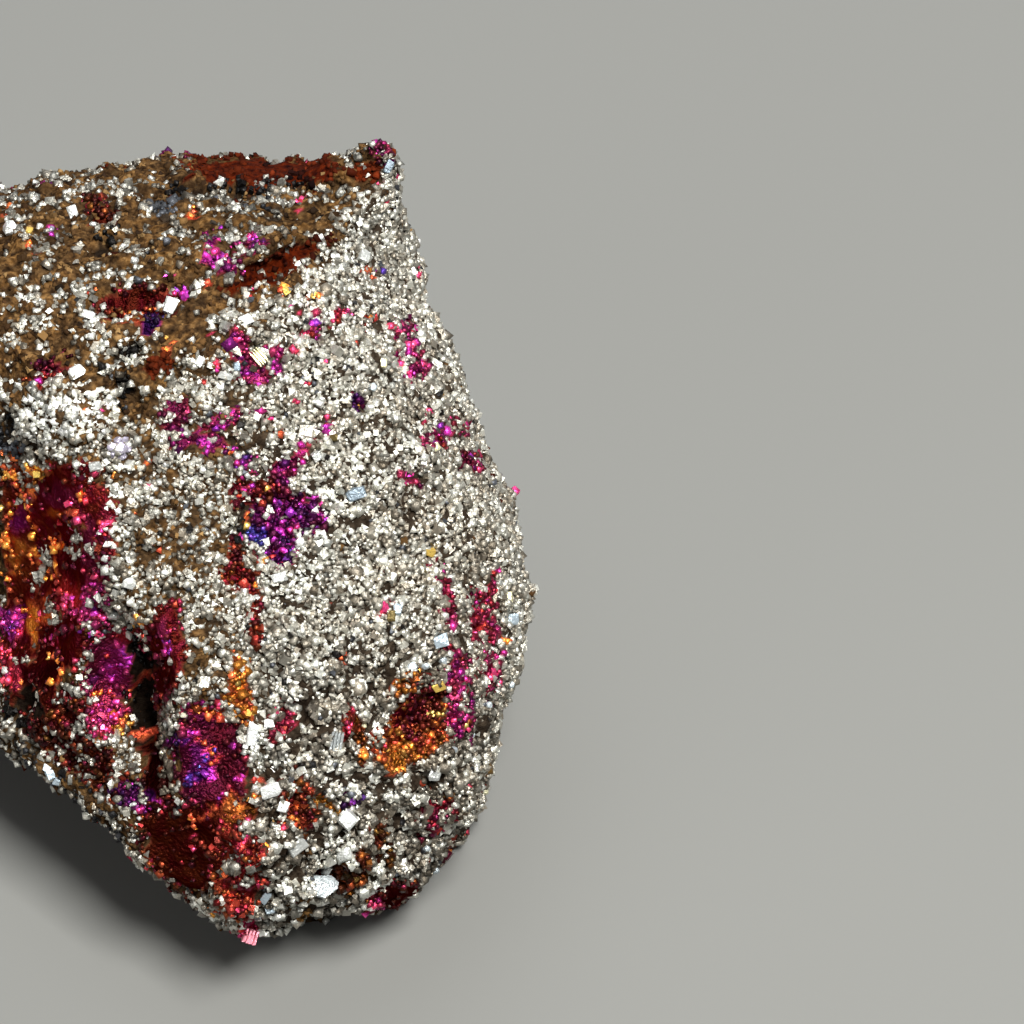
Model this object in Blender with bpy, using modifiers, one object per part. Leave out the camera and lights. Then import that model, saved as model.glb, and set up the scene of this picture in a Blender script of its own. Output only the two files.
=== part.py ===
"""A hand-sized lump of peacock ore, lying on the flat fracture of its underside.

The lump is shaped face-on: x runs across its broken face, y up it and z out of it.
settle() then lays it back, so that the broken face looks up at LEAN_DEG above the
level, and cuts the flat sole that it rests on, at z = 0 under the middle of its box.
"""

import math
import random

import bmesh
import bpy
import numpy as np
from mathutils import Euler, Matrix, Vector, noise
from mathutils.bvhtree import BVHTree

MM = 0.001

# How the lump lies
LEAN_DEG = 52.0  # how far above the level the broken face looks
SOLE_DEPTH = 15.9 * MM  # the flat sole, measured straight down from the face's origin

# The rough block, before its surface is worked
MIDDLE = Vector((-5.0, 0.5, -6.0)) * MM  # every part of the surface can be seen from here
FRONT_BULGE = 22.0 * MM
BACK_BULGE = 32.0 * MM
BULGE_POWER = 3.0  # 2 is an ellipsoid, and more is boxier
RIM_TILT = 0.35  # how fast the rim falls back towards the top
EDGE_SHARPNESS = 34.0  # high for crisp edges between the fractures
BALL_STEPS = 6

# The rim of the block seen face-on, in mm (across, up), clockwise from its left end
RIM = (
    (-30.6, 7.6), (-28.8, 14.1), (-24.2, 17.6),  # left end
    (-10.8, 19.8), (-4.8, 21.3), (1.4, 21.6), (7.4, 21.6),  # back edge of the layered top
    (11.2, 20.4), (11.9, 16.3), (12.3, 13.5),  # below the horn, down to the notch
    (13.4, 12.2), (14.7, 9.2), (16.0, 4.7), (17.6, 0.2), (18.2, -6.2),  # right bulge
    (16.8, -9.7), (16.4, -12.6), (13.9, -16.9), (11.0, -20.6),  # lower right
    (7.2, -21.3), (2.9, -22.4), (-0.4, -20.4), (-3.2, -16.7),  # foot
    (-6.9, -13.5), (-11.0, -11.1), (-16.9, -8.2), (-23.6, -3.9), (-28.6, 1.1),  # lower left
)

# The fractures that bound the block: the way each faces, and a point in mm that it passes through
FRACTURES = {
    "silver face": ((0.28, 0.0, 0.96), (2.8, 14.3, 11.1)),
    "layered top": ((-0.2, 0.62, 0.76), (2.8, 14.3, 11.1)),
    "stained side": ((-0.62, -0.3, 0.72), (-2.5, -3.3, 12.6)),
    "right flank": ((0.82, 0.02, 0.57), (14.6, -1.0, 6.4)),
    "right shoulder": ((0.62, 0.42, 0.66), (11.5, 12.0, 6.6)),
    "lower right": ((0.42, -0.62, 0.66), (9.9, -14.6, 9.0)),
    "foot": ((0.1, -0.89, 0.32), (2.0, -22.2, 3.0)),
    "undercut strip": ((-0.55, -0.77, 0.2), (-7.0, -15.2, 3.0)),
    "right undercut": ((0.95, -0.08, -0.26), (18.2, -3.0, -5.0)),
    "right back": ((0.8, 0.53, -0.29), (14.5, 13.0, -10.0)),
    "back wall": ((0.2, 0.78, -0.55), (0.0, 22.4, -12.0)),
    "left back": ((-0.6, 0.71, -0.3), (-23.0, 18.0, -8.0)),
    "left end": ((-0.9, 0.1, 0.3), (-29.0, 4.0, -8.0)),
}

# Flat chips knocked off the sides and back
CHIP_COUNT = 30
CHIP_LEAVES = (0.87, 0.96)  # the share of the block's reach that each chip leaves
CHIP_FACING = (-0.85, -0.45)  # how much of each chip's facing is straight out of the broken face
CHIP_SEED = 12

# Layers of the matrix, which break into ledges on the top, the back and the left end
LAYER_FACING = Vector((-0.42, 0.84, -0.34)).normalized()
LAYER_GAP = 2.3 * MM
LAYER_WANDER = (0.9, 7.0 * MM)  # how many layers they waver by, and over what length
LAYER_BREAKS = 5.0 * MM
LEDGE_HEIGHT = 0.8 * MM
LEDGE_RISE = 0.82  # the share of a layer over which it rises, before it drops at its edge
LEDGES_END = 0.80  # no ledges where the surface faces nearer than this to a smooth fracture
LEDGES_FADE = 0.12

# Worn lumps all over: how far they stand out, and how far apart they are
SWELLS = ((0.8 * MM, 11.0 * MM), (0.55 * MM, 4.5 * MM), (0.3 * MM, 2.0 * MM))

# Hollows in the broken face, in mm: across, up, half length, half width, turn in degrees, depth
HOLLOWS = {
    "stained hollow": (-12.5, -2.4, 8.6, 6.6, 78, 4.2),
    "deep pocket": (-2.9, -8.3, 5.0, 2.3, 108, 2.9),
    "purple facet": (1.3, -11.9, 4.2, 2.4, 105, 1.3),
    "shaded foot": (0.2, -17.4, 3.4, 2.6, 130, 1.3),
    "gold recess": (12.4, -9.8, 2.6, 2.3, 60, 1.2),
    "purple patch": (4.7, 1.6, 3.1, 2.1, 70, 0.7),
    "smooth saddle": (6.4, 17.6, 2.2, 1.3, 35, 0.5),
    "pit by the slot": (-6.3, 12.0, 0.9, 0.7, 0, 0.9),
    "pit in the groove": (-4.6, 11.9, 1.1, 0.7, 20, 0.9),
    "notch in the layers": (-4.2, 16.1, 1.2, 0.8, 20, 0.9),
}

BOWL_POWER = 0.8  # below 1 for a hollow with a flatter floor and steeper sides
RAGGED = (0.5 * MM, 2.2 * MM)  # how far the hollows' edges stray, and over what length
CUT_FADE = (-0.05, 0.20)  # a hollow fades out between these as the surface turns side-on

# Grooves: depth and half width in mm, then the points (across, up) that each runs through
GROOVES = {
    "rust slot": (1.3, 0.75, ((1.9, 13.0), (4.6, 14.0), (7.7, 15.8))),
    "stained groove": (1.1, 0.8, ((-5.2, 12.6), (-2.4, 12.7), (0.3, 13.6))),
    "crevice": (1.3, 0.5, ((-2.6, 9.6), (-2.9, 7.4), (-3.5, 5.1))),
    "black cleft": (1.6, 0.6, ((-1.6, -5.4), (-2.5, -9.0), (-3.2, -12.2))),
    "red crack": (0.6, 0.45, ((2.8, -1.2), (4.0, -3.1), (4.3, -6.4), (5.2, -9.0))),
    "shadow line": (1.0, 0.6, ((-5.0, 18.9), (1.0, 19.6), (7.4, 19.0))),
    "left seam": (1.0, 0.7, ((-22.0, 9.0), (-16.0, 10.4), (-9.5, 9.0))),
    "edge of the rim": (0.9, 0.8, ((-16.0, -6.6), (-9.4, -9.8), (-4.8, -13.2))),
}

GROOVE_SPREAD = 1.4  # how far past its half width a groove's slope runs out

# Crystals that stand out by themselves, in mm: across, up, size
CRYSTALS = {
    "big pale blade": (6.4, -18.5, 2.3),
    "pale cube over the blade": (5.4, -16.0, 1.3),
    "pale cube, right": (8.1, -14.6, 1.2),
    "pale cube, left": (4.6, -13.1, 1.4),
    "striped cube": (7.8, -10.4, 1.3),
    "cube by the pocket": (3.4, -9.6, 1.2),
    "lilac crystal": (-3.5, 5.1, 1.6),
    "yellow cube, upper": (12.9, 4.8, 1.3),
    "yellow cube, lower": (12.6, -0.6, 1.3),
    "blue plate": (9.0, 2.8, 1.5),
    "gold cube": (13.2, -7.6, 1.3),
    "gold plate": (13.5, -9.5, 1.1),
    "white cube on the layers": (-9.6, 16.3, 1.3),
    "crystal on the rim": (-8.4, -12.4, 1.7),
    "pink tip of the foot": (3.1, -21.0, 1.4),
}

# Corners drawn out of the block, in mm: where, how far round, and how far out
CORNERS = {
    "horn": ((9.5, 21.0, 1.0), 4.4, 4.0),
    "end of the back ridge": ((-12.0, 19.5, 2.0), 6.0, 0.7),
    "brow of the hollow": ((-8.0, 5.6, 12.6), 5.0, 0.9),
    "lip under the hollow": ((-9.0, -10.2, 4.0), 5.0, 0.8),
}

# Knobs that grow out of the block, in mm: where each sits, and its radius
KNOBS = {
    "tip of the horn": ((9.5, 21.2, 0.9), 1.0),
    "red knob": ((10.6, -19.5, 0.6), 1.3),
    "ledge, upper": ((8.4, -16.6, 6.4), 1.7),
    "ledge, lower": ((9.8, -17.4, 4.6), 1.8),
    "lump at the foot": ((3.0, -19.8, 3.4), 2.0),
}

CRYSTAL_SUNK = 0.3  # how much of its size a crystal's middle lies under the surface
CRYSTAL_STRETCH = (0.7, 1.15)
KNOB_ROUGHNESS = (0.82, 1.12)
COARSE_COUNT = 230  # small half-sunk crystals all over
COARSE_SIZE = (0.9 * MM, 1.6 * MM)
CORNER = Vector((9.0, -15.0, 7.0)) * MM  # the crystals are coarser and closer round here
CORNER_REACH = 9.0 * MM
CORNER_COUNT = 90

FUSE_GRID = 0.34 * MM
SKIN_TRIANGLES = 11600  # before the sole is cut, which takes about a fifth of them
SOLE_SNAP = 0.2 * MM  # points this near the sole are brought onto it
ABOVE_ALL = 60.0 * MM


def clear_scene():
    for thing in list(bpy.data.objects):
        bpy.data.objects.remove(thing, do_unlink=True)


def rim_reach(angle):
    """How far the rim is from the middle, seen face-on, at each angle."""
    points = np.array(RIM) * MM - np.array(MIDDLE)[:2]
    angles = np.arctan2(points[:, 1], points[:, 0])
    order = np.argsort(angles)
    return np.interp(angle, angles[order], np.hypot(*points[order].T), period=2 * math.pi)


def block_reach(facing):
    """How far the block's surface is from the middle along each unit vector of facing."""
    level = facing.copy()
    level[:, 2] += RIM_TILT * facing[:, 1]
    out = level[:, 2]
    bulge = np.where(out > 0.0, FRONT_BULGE, BACK_BULGE)
    rim = rim_reach(np.arctan2(level[:, 1], level[:, 0]))
    spread = np.hypot(level[:, 0], level[:, 1]) / rim
    reach = (spread**BULGE_POWER + (np.abs(out) / bulge) ** BULGE_POWER) ** (-1.0 / BULGE_POWER)
    for normal, point in FRACTURES.values():
        normal = np.array(Vector(normal).normalized())
        distance = normal @ (np.array(point) * MM - np.array(MIDDLE))
        reach = press_flat(reach, facing, normal, distance)
    return reach


def press_flat(reach, facing, normal, distance):
    """The reach after the surface is pressed back to a plane this far from the middle."""
    towards = np.maximum(facing @ normal, 1e-4)
    total = reach**-EDGE_SHARPNESS + (distance / towards) ** -EDGE_SHARPNESS
    return total ** (-1.0 / EDGE_SHARPNESS)


def chipped_reach(facing):
    """The block's reach with flat chips knocked off its back, sides and ends."""
    reach = block_reach(facing)
    rng = random.Random(CHIP_SEED)
    for _ in range(CHIP_COUNT):
        heading = rng.uniform(0.0, 2.0 * math.pi)
        out = rng.uniform(*CHIP_FACING)
        level = math.sqrt(1.0 - out * out)
        normal = np.array([level * math.cos(heading), level * math.sin(heading), out])
        distance = block_reach(normal[None, :])[0] * rng.uniform(*CHIP_LEAVES)
        reach = press_flat(reach, facing, normal, distance)
    return reach


def points_of(mesh):
    values = np.empty(len(mesh.vertices) * 3)
    mesh.vertices.foreach_get("co", values)
    return values.reshape(-1, 3)


def normals_of(mesh):
    values = np.empty(len(mesh.vertices) * 3)
    mesh.vertices.foreach_get("normal", values)
    return values.reshape(-1, 3)


def move_points(mesh, points):
    mesh.vertices.foreach_set("co", points.ravel())
    mesh.update()


def rough_block():
    """A ball drawn out to the rim and pressed flat against every fracture."""
    mesh = bpy.data.meshes.new("ore_block")
    shape = bmesh.new()
    bmesh.ops.create_icosphere(shape, subdivisions=BALL_STEPS, radius=1.0)
    shape.to_mesh(mesh)
    shape.free()
    facing = points_of(mesh)
    facing /= np.linalg.norm(facing, axis=1)[:, None]
    reach = chipped_reach(facing)
    points = np.array(MIDDLE) + facing * reach[:, None]
    for place, across, height in CORNERS.values():
        away = np.linalg.norm(points - np.array(place) * MM, axis=1) / (across * MM)
        reach += height * MM * np.maximum(0.0, 1.0 - away)
    move_points(mesh, np.array(MIDDLE) + facing * reach[:, None])
    return mesh


def swell(point):
    """Rounded swelling of the surface, from broad to small."""
    height = 0.0
    for step, (amount, spacing) in enumerate(SWELLS):
        height += amount * noise.noise(point / spacing + Vector((step, 2.0 * step, 5.0)))
    return height


def away_from(normal, fracture):
    """1 where the surface has turned away from a fracture that is smooth, and 0 on it."""
    likeness = normal.dot(Vector(FRACTURES[fracture][0]).normalized())
    return max(0.0, min(1.0, (LEDGES_END - likeness) / LEDGES_FADE))


def ledge(point, normal):
    """Layers that break off in steps: each rises slowly and drops at its edge."""
    wander, wander_length = LAYER_WANDER
    across_layers = point.dot(LAYER_FACING) / LAYER_GAP
    across_layers += wander * noise.noise(point / wander_length)
    layer = math.floor(across_layers)
    part_way = across_layers - layer
    step = min(part_way / LEDGE_RISE, (1.0 - part_way) / (1.0 - LEDGE_RISE)) - 0.5
    broken = 0.6 + 0.8 * noise.noise(point / LAYER_BREAKS + Vector((layer, 0.0, 4.0)))
    thickness = 0.4 + 0.8 * noise.cell(Vector((layer, 3.0, 7.0)))
    height = LEDGE_HEIGHT * thickness * broken * step
    return height * away_from(normal, "silver face") * away_from(normal, "stained side")


def bowl(across, up, hollow):
    """Depth of a round-bottomed oval hollow at a place on the broken face."""
    middle_x, middle_y, half_long, half_wide, turn, depth = hollow
    turn = math.radians(turn)
    dx = across / MM - middle_x
    dy = up / MM - middle_y
    along = (dx * math.cos(turn) + dy * math.sin(turn)) / half_long
    aside = (dy * math.cos(turn) - dx * math.sin(turn)) / half_wide
    inside = max(0.0, 1.0 - along * along - aside * aside)
    return depth * MM * inside**BOWL_POWER


def trench(across, up, groove):
    """Depth of a groove at a place on the broken face."""
    depth, half_wide, route = groove
    here = Vector((across / MM, up / MM))
    nearest = min(
        (here - clamp_to_line(here, Vector(a), Vector(b))).length
        for a, b in zip(route, route[1:])
    )
    return depth * MM * max(0.0, 1.0 - nearest / half_wide / GROOVE_SPREAD)


def clamp_to_line(point, start, end):
    along = (point - start).dot(end - start) / (end - start).length_squared
    return start.lerp(end, max(0.0, min(1.0, along)))


def worked_depth(point):
    """How far the hollows and grooves cut into the broken face at a point on it."""
    stray, stray_length = RAGGED
    ragged = noise.noise_vector(point / stray_length) * stray
    across = point.x + ragged.x
    up = point.y + ragged.y
    depth = max(bowl(across, up, hollow) for hollow in HOLLOWS.values())
    return depth + max(trench(across, up, groove) for groove in GROOVES.values())


def work_surface(mesh):
    """Swells, ledges, hollows and grooves, all cut along the surface's own normals."""
    points = points_of(mesh)
    normals = normals_of(mesh)
    side_on, face_on = CUT_FADE
    for index, (place, facing) in enumerate(zip(points, normals)):
        point = Vector(place)
        normal = Vector(facing)
        points[index] += facing * (swell(point) + ledge(point, normal))
        cut = max(0.0, min(1.0, (normal.z - side_on) / (face_on - side_on)))
        if cut > 0.0:
            points[index, 2] -= worked_depth(point) * cut
    move_points(mesh, points)


def surface_under(tree, across, up):
    """The point of the broken face at a place seen face-on, and its normal."""
    above = Vector((across, up, ABOVE_ALL))
    place, normal, _, _ = tree.ray_cast(above, Vector((0.0, 0.0, -1.0)))
    return place, normal


def add_crystal(shape, place, normal, size, rng):
    """A cube sunk into the surface with a corner or an edge out."""
    turn = Euler([rng.uniform(0.0, math.pi) for _ in range(3)]).to_matrix().to_4x4()
    stretch = Matrix.Diagonal([rng.uniform(*CRYSTAL_STRETCH) for _ in range(3)] + [1.0])
    sunk = Matrix.Translation(place - normal * size * CRYSTAL_SUNK)
    bmesh.ops.create_cube(shape, size=size, matrix=sunk @ turn @ stretch)


def add_knob(shape, place, radius, rng):
    """A rough many-sided knob."""
    made = bmesh.ops.create_icosphere(
        shape, subdivisions=2, radius=radius, matrix=Matrix.Translation(place)
    )
    for vert in made["verts"]:
        vert.co = place + (vert.co - place) * rng.uniform(*KNOB_ROUGHNESS)


def grown_pieces(block):
    """Every crystal and knob that stands out of the block, as one mesh."""
    rng = random.Random(41)
    tree = BVHTree.FromPolygons(
        [vert.co for vert in block.vertices], [face.vertices for face in block.polygons]
    )
    shape = bmesh.new()
    for across, up, size in CRYSTALS.values():
        place, normal = surface_under(tree, across * MM, up * MM)
        add_crystal(shape, place, normal, size * MM, rng)
    for place, radius in KNOBS.values():
        add_knob(shape, Vector(place) * MM, radius * MM, rng)
    near_corner = [
        vert for vert in block.vertices if (vert.co - CORNER).length < CORNER_REACH
    ]
    scattered = rng.sample(list(block.vertices), COARSE_COUNT)
    for vert in scattered + rng.sample(near_corner, CORNER_COUNT):
        add_crystal(shape, vert.co, vert.normal, rng.uniform(*COARSE_SIZE), rng)
    return shape


def fuse(block, grown):
    """One closed skin round the block and all that grows on it, thinned to SKIN_TRIANGLES."""
    grown.from_mesh(block)
    mesh = bpy.data.meshes.new("ore_rough")
    grown.to_mesh(mesh)
    grown.free()
    rough = bpy.data.objects.new("ore_rough", mesh)
    bpy.context.scene.collection.objects.link(rough)
    remesh = rough.modifiers.new("fuse", "REMESH")
    remesh.mode = "VOXEL"
    remesh.voxel_size = FUSE_GRID
    fused = evaluated_mesh(rough)
    quads = len(fused.polygons)
    rough.modifiers.clear()
    rough.data = fused
    thin = rough.modifiers.new("thin", "DECIMATE")
    thin.ratio = SKIN_TRIANGLES / (2.0 * quads)
    thinned = evaluated_mesh(rough)
    bpy.data.objects.remove(rough, do_unlink=True)
    return thinned


def evaluated_mesh(thing):
    graph = bpy.context.evaluated_depsgraph_get()
    return bpy.data.meshes.new_from_object(thing.evaluated_get(graph))


def settle(mesh):
    """Lay the lump back, cut its flat sole and bring the middle of the sole's box to the origin."""
    lay_back = Matrix.Rotation(math.radians(90.0 - LEAN_DEG), 4, "X")
    shape = bmesh.new()
    shape.from_mesh(mesh)
    bmesh.ops.transform(shape, matrix=lay_back, verts=shape.verts)
    for vert in shape.verts:
        vert.co.z += SOLE_DEPTH
        if abs(vert.co.z) < SOLE_SNAP:
            vert.co.z = 0.0
    bmesh.ops.bisect_plane(
        shape,
        geom=shape.verts[:] + shape.edges[:] + shape.faces[:],
        plane_co=(0.0, 0.0, 0.0),
        plane_no=(0.0, 0.0, 1.0),
        dist=1e-7,
        clear_inner=True,
    )
    open_edges = [edge for edge in shape.edges if edge.is_boundary]
    bmesh.ops.holes_fill(shape, edges=open_edges, sides=0)
    keep_largest_body(shape)
    low = Vector([min(vert.co[axis] for vert in shape.verts) for axis in range(3)])
    high = Vector([max(vert.co[axis] for vert in shape.verts) for axis in range(3)])
    middle = (low + high) / 2.0
    for vert in shape.verts:
        vert.co.x -= middle.x
        vert.co.y -= middle.y
    bmesh.ops.recalc_face_normals(shape, faces=shape.faces)
    shape.to_mesh(mesh)
    shape.free()


def keep_largest_body(shape):
    """Drop any crumb that the sole's cut has parted from the lump."""
    unseen = set(shape.verts)
    bodies = []
    while unseen:
        body = {unseen.pop()}
        edge_of_body = set(body)
        while edge_of_body:
            near = {edge.other_vert(vert) for vert in edge_of_body for edge in vert.link_edges}
            edge_of_body = near - body
            body |= near
        unseen -= body
        bodies.append(body)
    bodies.sort(key=len)
    crumbs = [vert for body in bodies[:-1] for vert in body]
    bmesh.ops.delete(shape, geom=crumbs, context="VERTS")


def ore_material():
    material = bpy.data.materials.new("granular_ore")
    material.use_nodes = True
    shader = material.node_tree.nodes["Principled BSDF"]
    shader.inputs["Base Color"].default_value = (0.42, 0.36, 0.27, 1.0)
    shader.inputs["Metallic"].default_value = 0.8
    shader.inputs["Roughness"].default_value = 0.4
    return material


def build():
    clear_scene()
    specimen = bpy.data.collections.new("peacock_ore_specimen")
    bpy.context.scene.collection.children.link(specimen)
    block = rough_block()
    work_surface(block)
    mesh = fuse(block, grown_pieces(block))
    settle(mesh)
    mesh.name = "ore_lump"
    mesh.materials.clear()
    mesh.materials.append(ore_material())
    lump = bpy.data.objects.new("ore_lump", mesh)
    specimen.objects.link(lump)


build()
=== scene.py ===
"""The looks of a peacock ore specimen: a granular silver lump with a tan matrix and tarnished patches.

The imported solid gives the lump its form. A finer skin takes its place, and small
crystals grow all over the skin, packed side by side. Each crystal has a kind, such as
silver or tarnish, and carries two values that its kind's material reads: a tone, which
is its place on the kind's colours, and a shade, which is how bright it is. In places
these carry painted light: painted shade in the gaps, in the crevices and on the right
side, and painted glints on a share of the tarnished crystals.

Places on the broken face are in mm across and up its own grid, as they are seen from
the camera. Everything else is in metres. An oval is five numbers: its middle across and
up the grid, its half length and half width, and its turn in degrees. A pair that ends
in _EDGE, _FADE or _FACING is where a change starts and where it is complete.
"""

import math

import bmesh
import bpy
import numpy as np
from mathutils import Matrix, Vector, noise
from mathutils.bvhtree import BVHTree
from mathutils.kdtree import KDTree

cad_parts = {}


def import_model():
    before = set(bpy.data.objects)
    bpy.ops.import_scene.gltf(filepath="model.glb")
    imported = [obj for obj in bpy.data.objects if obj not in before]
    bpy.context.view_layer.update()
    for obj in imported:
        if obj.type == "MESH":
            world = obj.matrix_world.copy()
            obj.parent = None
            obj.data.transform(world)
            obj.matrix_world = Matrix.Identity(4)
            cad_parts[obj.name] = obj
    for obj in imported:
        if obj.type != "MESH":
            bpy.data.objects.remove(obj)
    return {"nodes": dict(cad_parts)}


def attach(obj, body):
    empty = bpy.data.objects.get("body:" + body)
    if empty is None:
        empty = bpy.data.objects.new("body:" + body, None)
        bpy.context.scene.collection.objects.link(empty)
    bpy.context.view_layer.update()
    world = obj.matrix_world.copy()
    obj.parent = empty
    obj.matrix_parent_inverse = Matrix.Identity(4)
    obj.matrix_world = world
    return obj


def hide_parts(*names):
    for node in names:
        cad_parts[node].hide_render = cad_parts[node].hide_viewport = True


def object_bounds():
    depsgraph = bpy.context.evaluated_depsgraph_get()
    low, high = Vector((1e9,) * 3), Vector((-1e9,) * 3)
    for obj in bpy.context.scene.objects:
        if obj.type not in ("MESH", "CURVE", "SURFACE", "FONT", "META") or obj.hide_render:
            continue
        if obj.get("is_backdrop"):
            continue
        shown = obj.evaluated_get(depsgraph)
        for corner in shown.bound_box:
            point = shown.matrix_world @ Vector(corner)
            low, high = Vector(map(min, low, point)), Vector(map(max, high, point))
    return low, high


MM = 0.001

# The kinds of crystal
SILVER, TAN, RUST, TARNISH, DARK = range(5)

# How the broken face lies: its grid's axes, and the middle of the grid
LEAN = math.radians(52.0)
ACROSS = Vector((1.0, 0.0, 0.0))
UP = Vector((0.0, math.sin(LEAN), math.cos(LEAN)))
OUT = Vector((0.0, -math.cos(LEAN), math.sin(LEAN)))
FACE_ORIGIN = Vector((5.015, -2.276, 15.9)) * MM

# The camera looks straight at the grid
AIM = (17.16, 1.54)  # the place on the grid that it looks at, in mm
FIELD = 56.32 * MM  # the width of the grid that it takes in
LENS = 150.0
SENSOR = 36.0
VIEW_DISTANCE = FIELD * LENS / SENSOR
CLIP_START = 0.01

# The studio. A softbox is a square light: the way to it from the lump on the grid's axes,
# its distance, its size, its power in watts and its colour.
FLOOR_HALF = 1.5
FLOOR_COLOUR = (0.150, 0.153, 0.146)
FLOOR_ROUGHNESS = 0.9
SOFTBOXES = {
    "key": ((0.27, 0.37, 0.89), 0.45, 0.14, 4.8, (1.0, 0.98, 0.94)),
    "fill_above": ((-0.2, 0.9, 0.5), 0.6, 0.4, 1.1, (0.95, 0.97, 1.0)),
    "fill_left": ((-0.8, -0.2, 0.6), 0.6, 0.4, 0.9, (1.0, 0.96, 0.92)),
    "fill_behind": ((0.1, 1.0, -0.2), 0.6, 0.3, 0.8, (0.96, 0.98, 1.0)),
}
WORLD_COLOUR = (0.82, 0.84, 0.86)
WORLD_STRENGTH = 0.18

# ------------------------------------------------------------------ sizes and shares

# The skin
WELD = 1e-6
SKIN_GRID = 0.31 * MM
SKIN_SMOOTHING = 3  # rounds of smoothing
SKIN_SOFTNESS = 0.5  # how far each round goes
SKIN_SUNK = 0.36 * MM  # how far the skin lies inside the solid
SKIN_MIDDLE = FACE_ORIGIN - OUT * 6.0 * MM - ACROSS * 5.0 * MM
SOLE_CLEAR = 0.25 * MM  # nothing is worked into the skin this near the floor

# The skin and the crystals on it stand in clumps of nuggets, which are domed, with gaps between
CLUMP_SIZE = 1.3 * MM
CLUMP_HEIGHT = 0.34 * MM
CLUMP_RISE = 0.3 * MM  # how far some clumps stand above others
CLUMP_LEVEL = 0.7  # the part of a clump's dome that is level with the skin
NUGGET_SIZE = 0.5 * MM
NUGGET_HEIGHT = 0.22 * MM
NUGGET_RISE = 0.16 * MM  # how far some nuggets stand above others
NUGGET_LEVEL = 0.6
NUGGET_UNITY = 0.75  # the share of a nugget's crystals that are of one kind
COARSE_NUGGET_SIZE = 1.0 * MM
COARSE_NUGGET_HEIGHT = 0.3 * MM
COARSE_LIFT = 0.5  # how much more nuggets stand out in the coarse corner
CELL_GAP = 0.24  # how wide the gaps between cells are, as a share of a cell
CELL_KEY = 53.7  # spreads the cells' middles, so that each gets a random value
DRAW_KEYS = (7.0, 4.0)  # make a nugget's one random value differ from draw to draw
PIT_SPACING = 2.1 * MM
PIT_FROM = 0.42  # the noise that pits start at
PIT_DEPTH = 0.9 * MM
MATRIX_ROUGHNESS = 0.16 * MM  # how far the matrix swells and sinks
MATRIX_SPACING = 0.8 * MM
SMOOTH_FLATNESS = 0.7  # how much flatter a smooth area is

# The coarse corner, in mm on the grid, how far it reaches, and over which share of that it fades
COARSE_MIDDLE = (9.5, -15.5)
COARSE_REACH = 11.5
COARSE_FADE = (1.0, 0.6)

# The small crystals
SEED = 20
CANDIDATES = 640_000  # the places that are tried
GRAIN = 0.155 * MM  # how far apart the fine ones are
GRAIN_SPREAD = 0.18
BACK_GRAIN = 0.3  # how much farther apart they are on the back
BACK_GRAIN_FACING = (0.0, -0.4)
TAN_GRAIN = 0.85  # the matrix's grains, against the others
BIG_SHARE = 0.003
COARSE_BIG_SHARE = 0.004  # what the coarse corner adds
BIG_GRAIN = (1.4, 1.9)  # how many times larger the big ones are
PLUMPNESS = 1.6  # a crystal's size against the room that it has
ORDER_SPREAD = 0.02 * MM  # how loosely the larger ones are placed first
STRETCH = (0.8, 1.25)  # a crystal's length against its size, along each axis
BEND = 0.07  # how far its corners stray
STANDS_OUT = (0.05, 0.12)  # how far its middle is off the skin: the mean and the spread
TAN_SUNK = 0.1 * MM  # how much lower the matrix's grains lie
FLOOR_GAP = 0.02 * MM  # how near the floor a crystal may come
SOLE_BARE = 0.12 * MM  # no crystals grow on the skin this near the floor
FORM_SHARES = (0.3, 0.4, 0.3)  # cubes, octahedra and wedges
CRISP_SHARE = {SILVER: 0.3, TAN: 0.3, RUST: 0.1, TARNISH: 0.08, DARK: 0.3}  # not worn round

# How many crystals are missing
SMOOTH_BARE = 0.97  # in a smooth area
MATRIX_GAP_BARE = 0.8  # in a gap in the matrix
COARSE_GAP_BARE = 0.5  # in a gap in the coarse corner
TAN_BARE = 0.5  # of the matrix's own
CREVICE_BARE = 0.6  # of the darkest
CREVICE_TONE = 0.5  # dark crystals below this tone are in crevices

# The joined meshes
PIECE_NAMES = {
    SILVER: "silver_crystals",
    TAN: "tan_matrix_crystals",
    RUST: "rusty_crystals",
    TARNISH: "tarnished_crystals",
    DARK: "dark_crystals",
}
MOST_IN_A_PIECE = 20_500
CELL_TRIANGLE = ((0.2, 0.2), (0.8, 0.2), (0.5, 0.8))  # a crystal's place in its texture cell
BOX_FILL = 0.46  # how far each side of the skin reaches from the middle of its own cell

# ------------------------------------------------------------------ colours

SILVER_STOPS = (
    (0.0, (0.10, 0.080, 0.055)),
    (0.25, (0.34, 0.30, 0.24)),
    (0.6, (0.645, 0.640, 0.575)),
    (1.0, (0.885, 0.90, 0.855)),
)
TAN_STOPS = (
    (0.0, (0.008, 0.004, 0.001)),
    (0.35, (0.046, 0.021, 0.007)),
    (0.7, (0.140, 0.072, 0.023)),
    (1.0, (0.27, 0.165, 0.066)),
)
RUST_STOPS = (
    (0.0, (0.004, 0.001, 0.001)),
    (0.5, (0.030, 0.004, 0.001)),
    (1.0, (0.09, 0.014, 0.003)),
)
TARNISH_STOPS = (
    (0.0, (0.06, 0.08, 0.36)),
    (0.15, (0.12, 0.05, 0.38)),
    (0.28, (0.28, 0.03, 0.36)),
    (0.35, (0.58, 0.05, 0.44)),
    (0.42, (0.52, 0.03, 0.24)),
    (0.52, (0.72, 0.07, 0.19)),
    (0.64, (0.48, 0.03, 0.04)),
    (0.75, (0.74, 0.14, 0.05)),
    (0.87, (0.90, 0.33, 0.05)),
    (1.0, (0.95, 0.66, 0.20)),
)
# Dark crystals: slate and dark grains, and painted shade in the crevices
DARK_STOPS = (
    (0.0, (0.008, 0.006, 0.005)),
    (0.5, (0.035, 0.038, 0.044)),
    (1.0, (0.12, 0.13, 0.15)),
)
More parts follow.
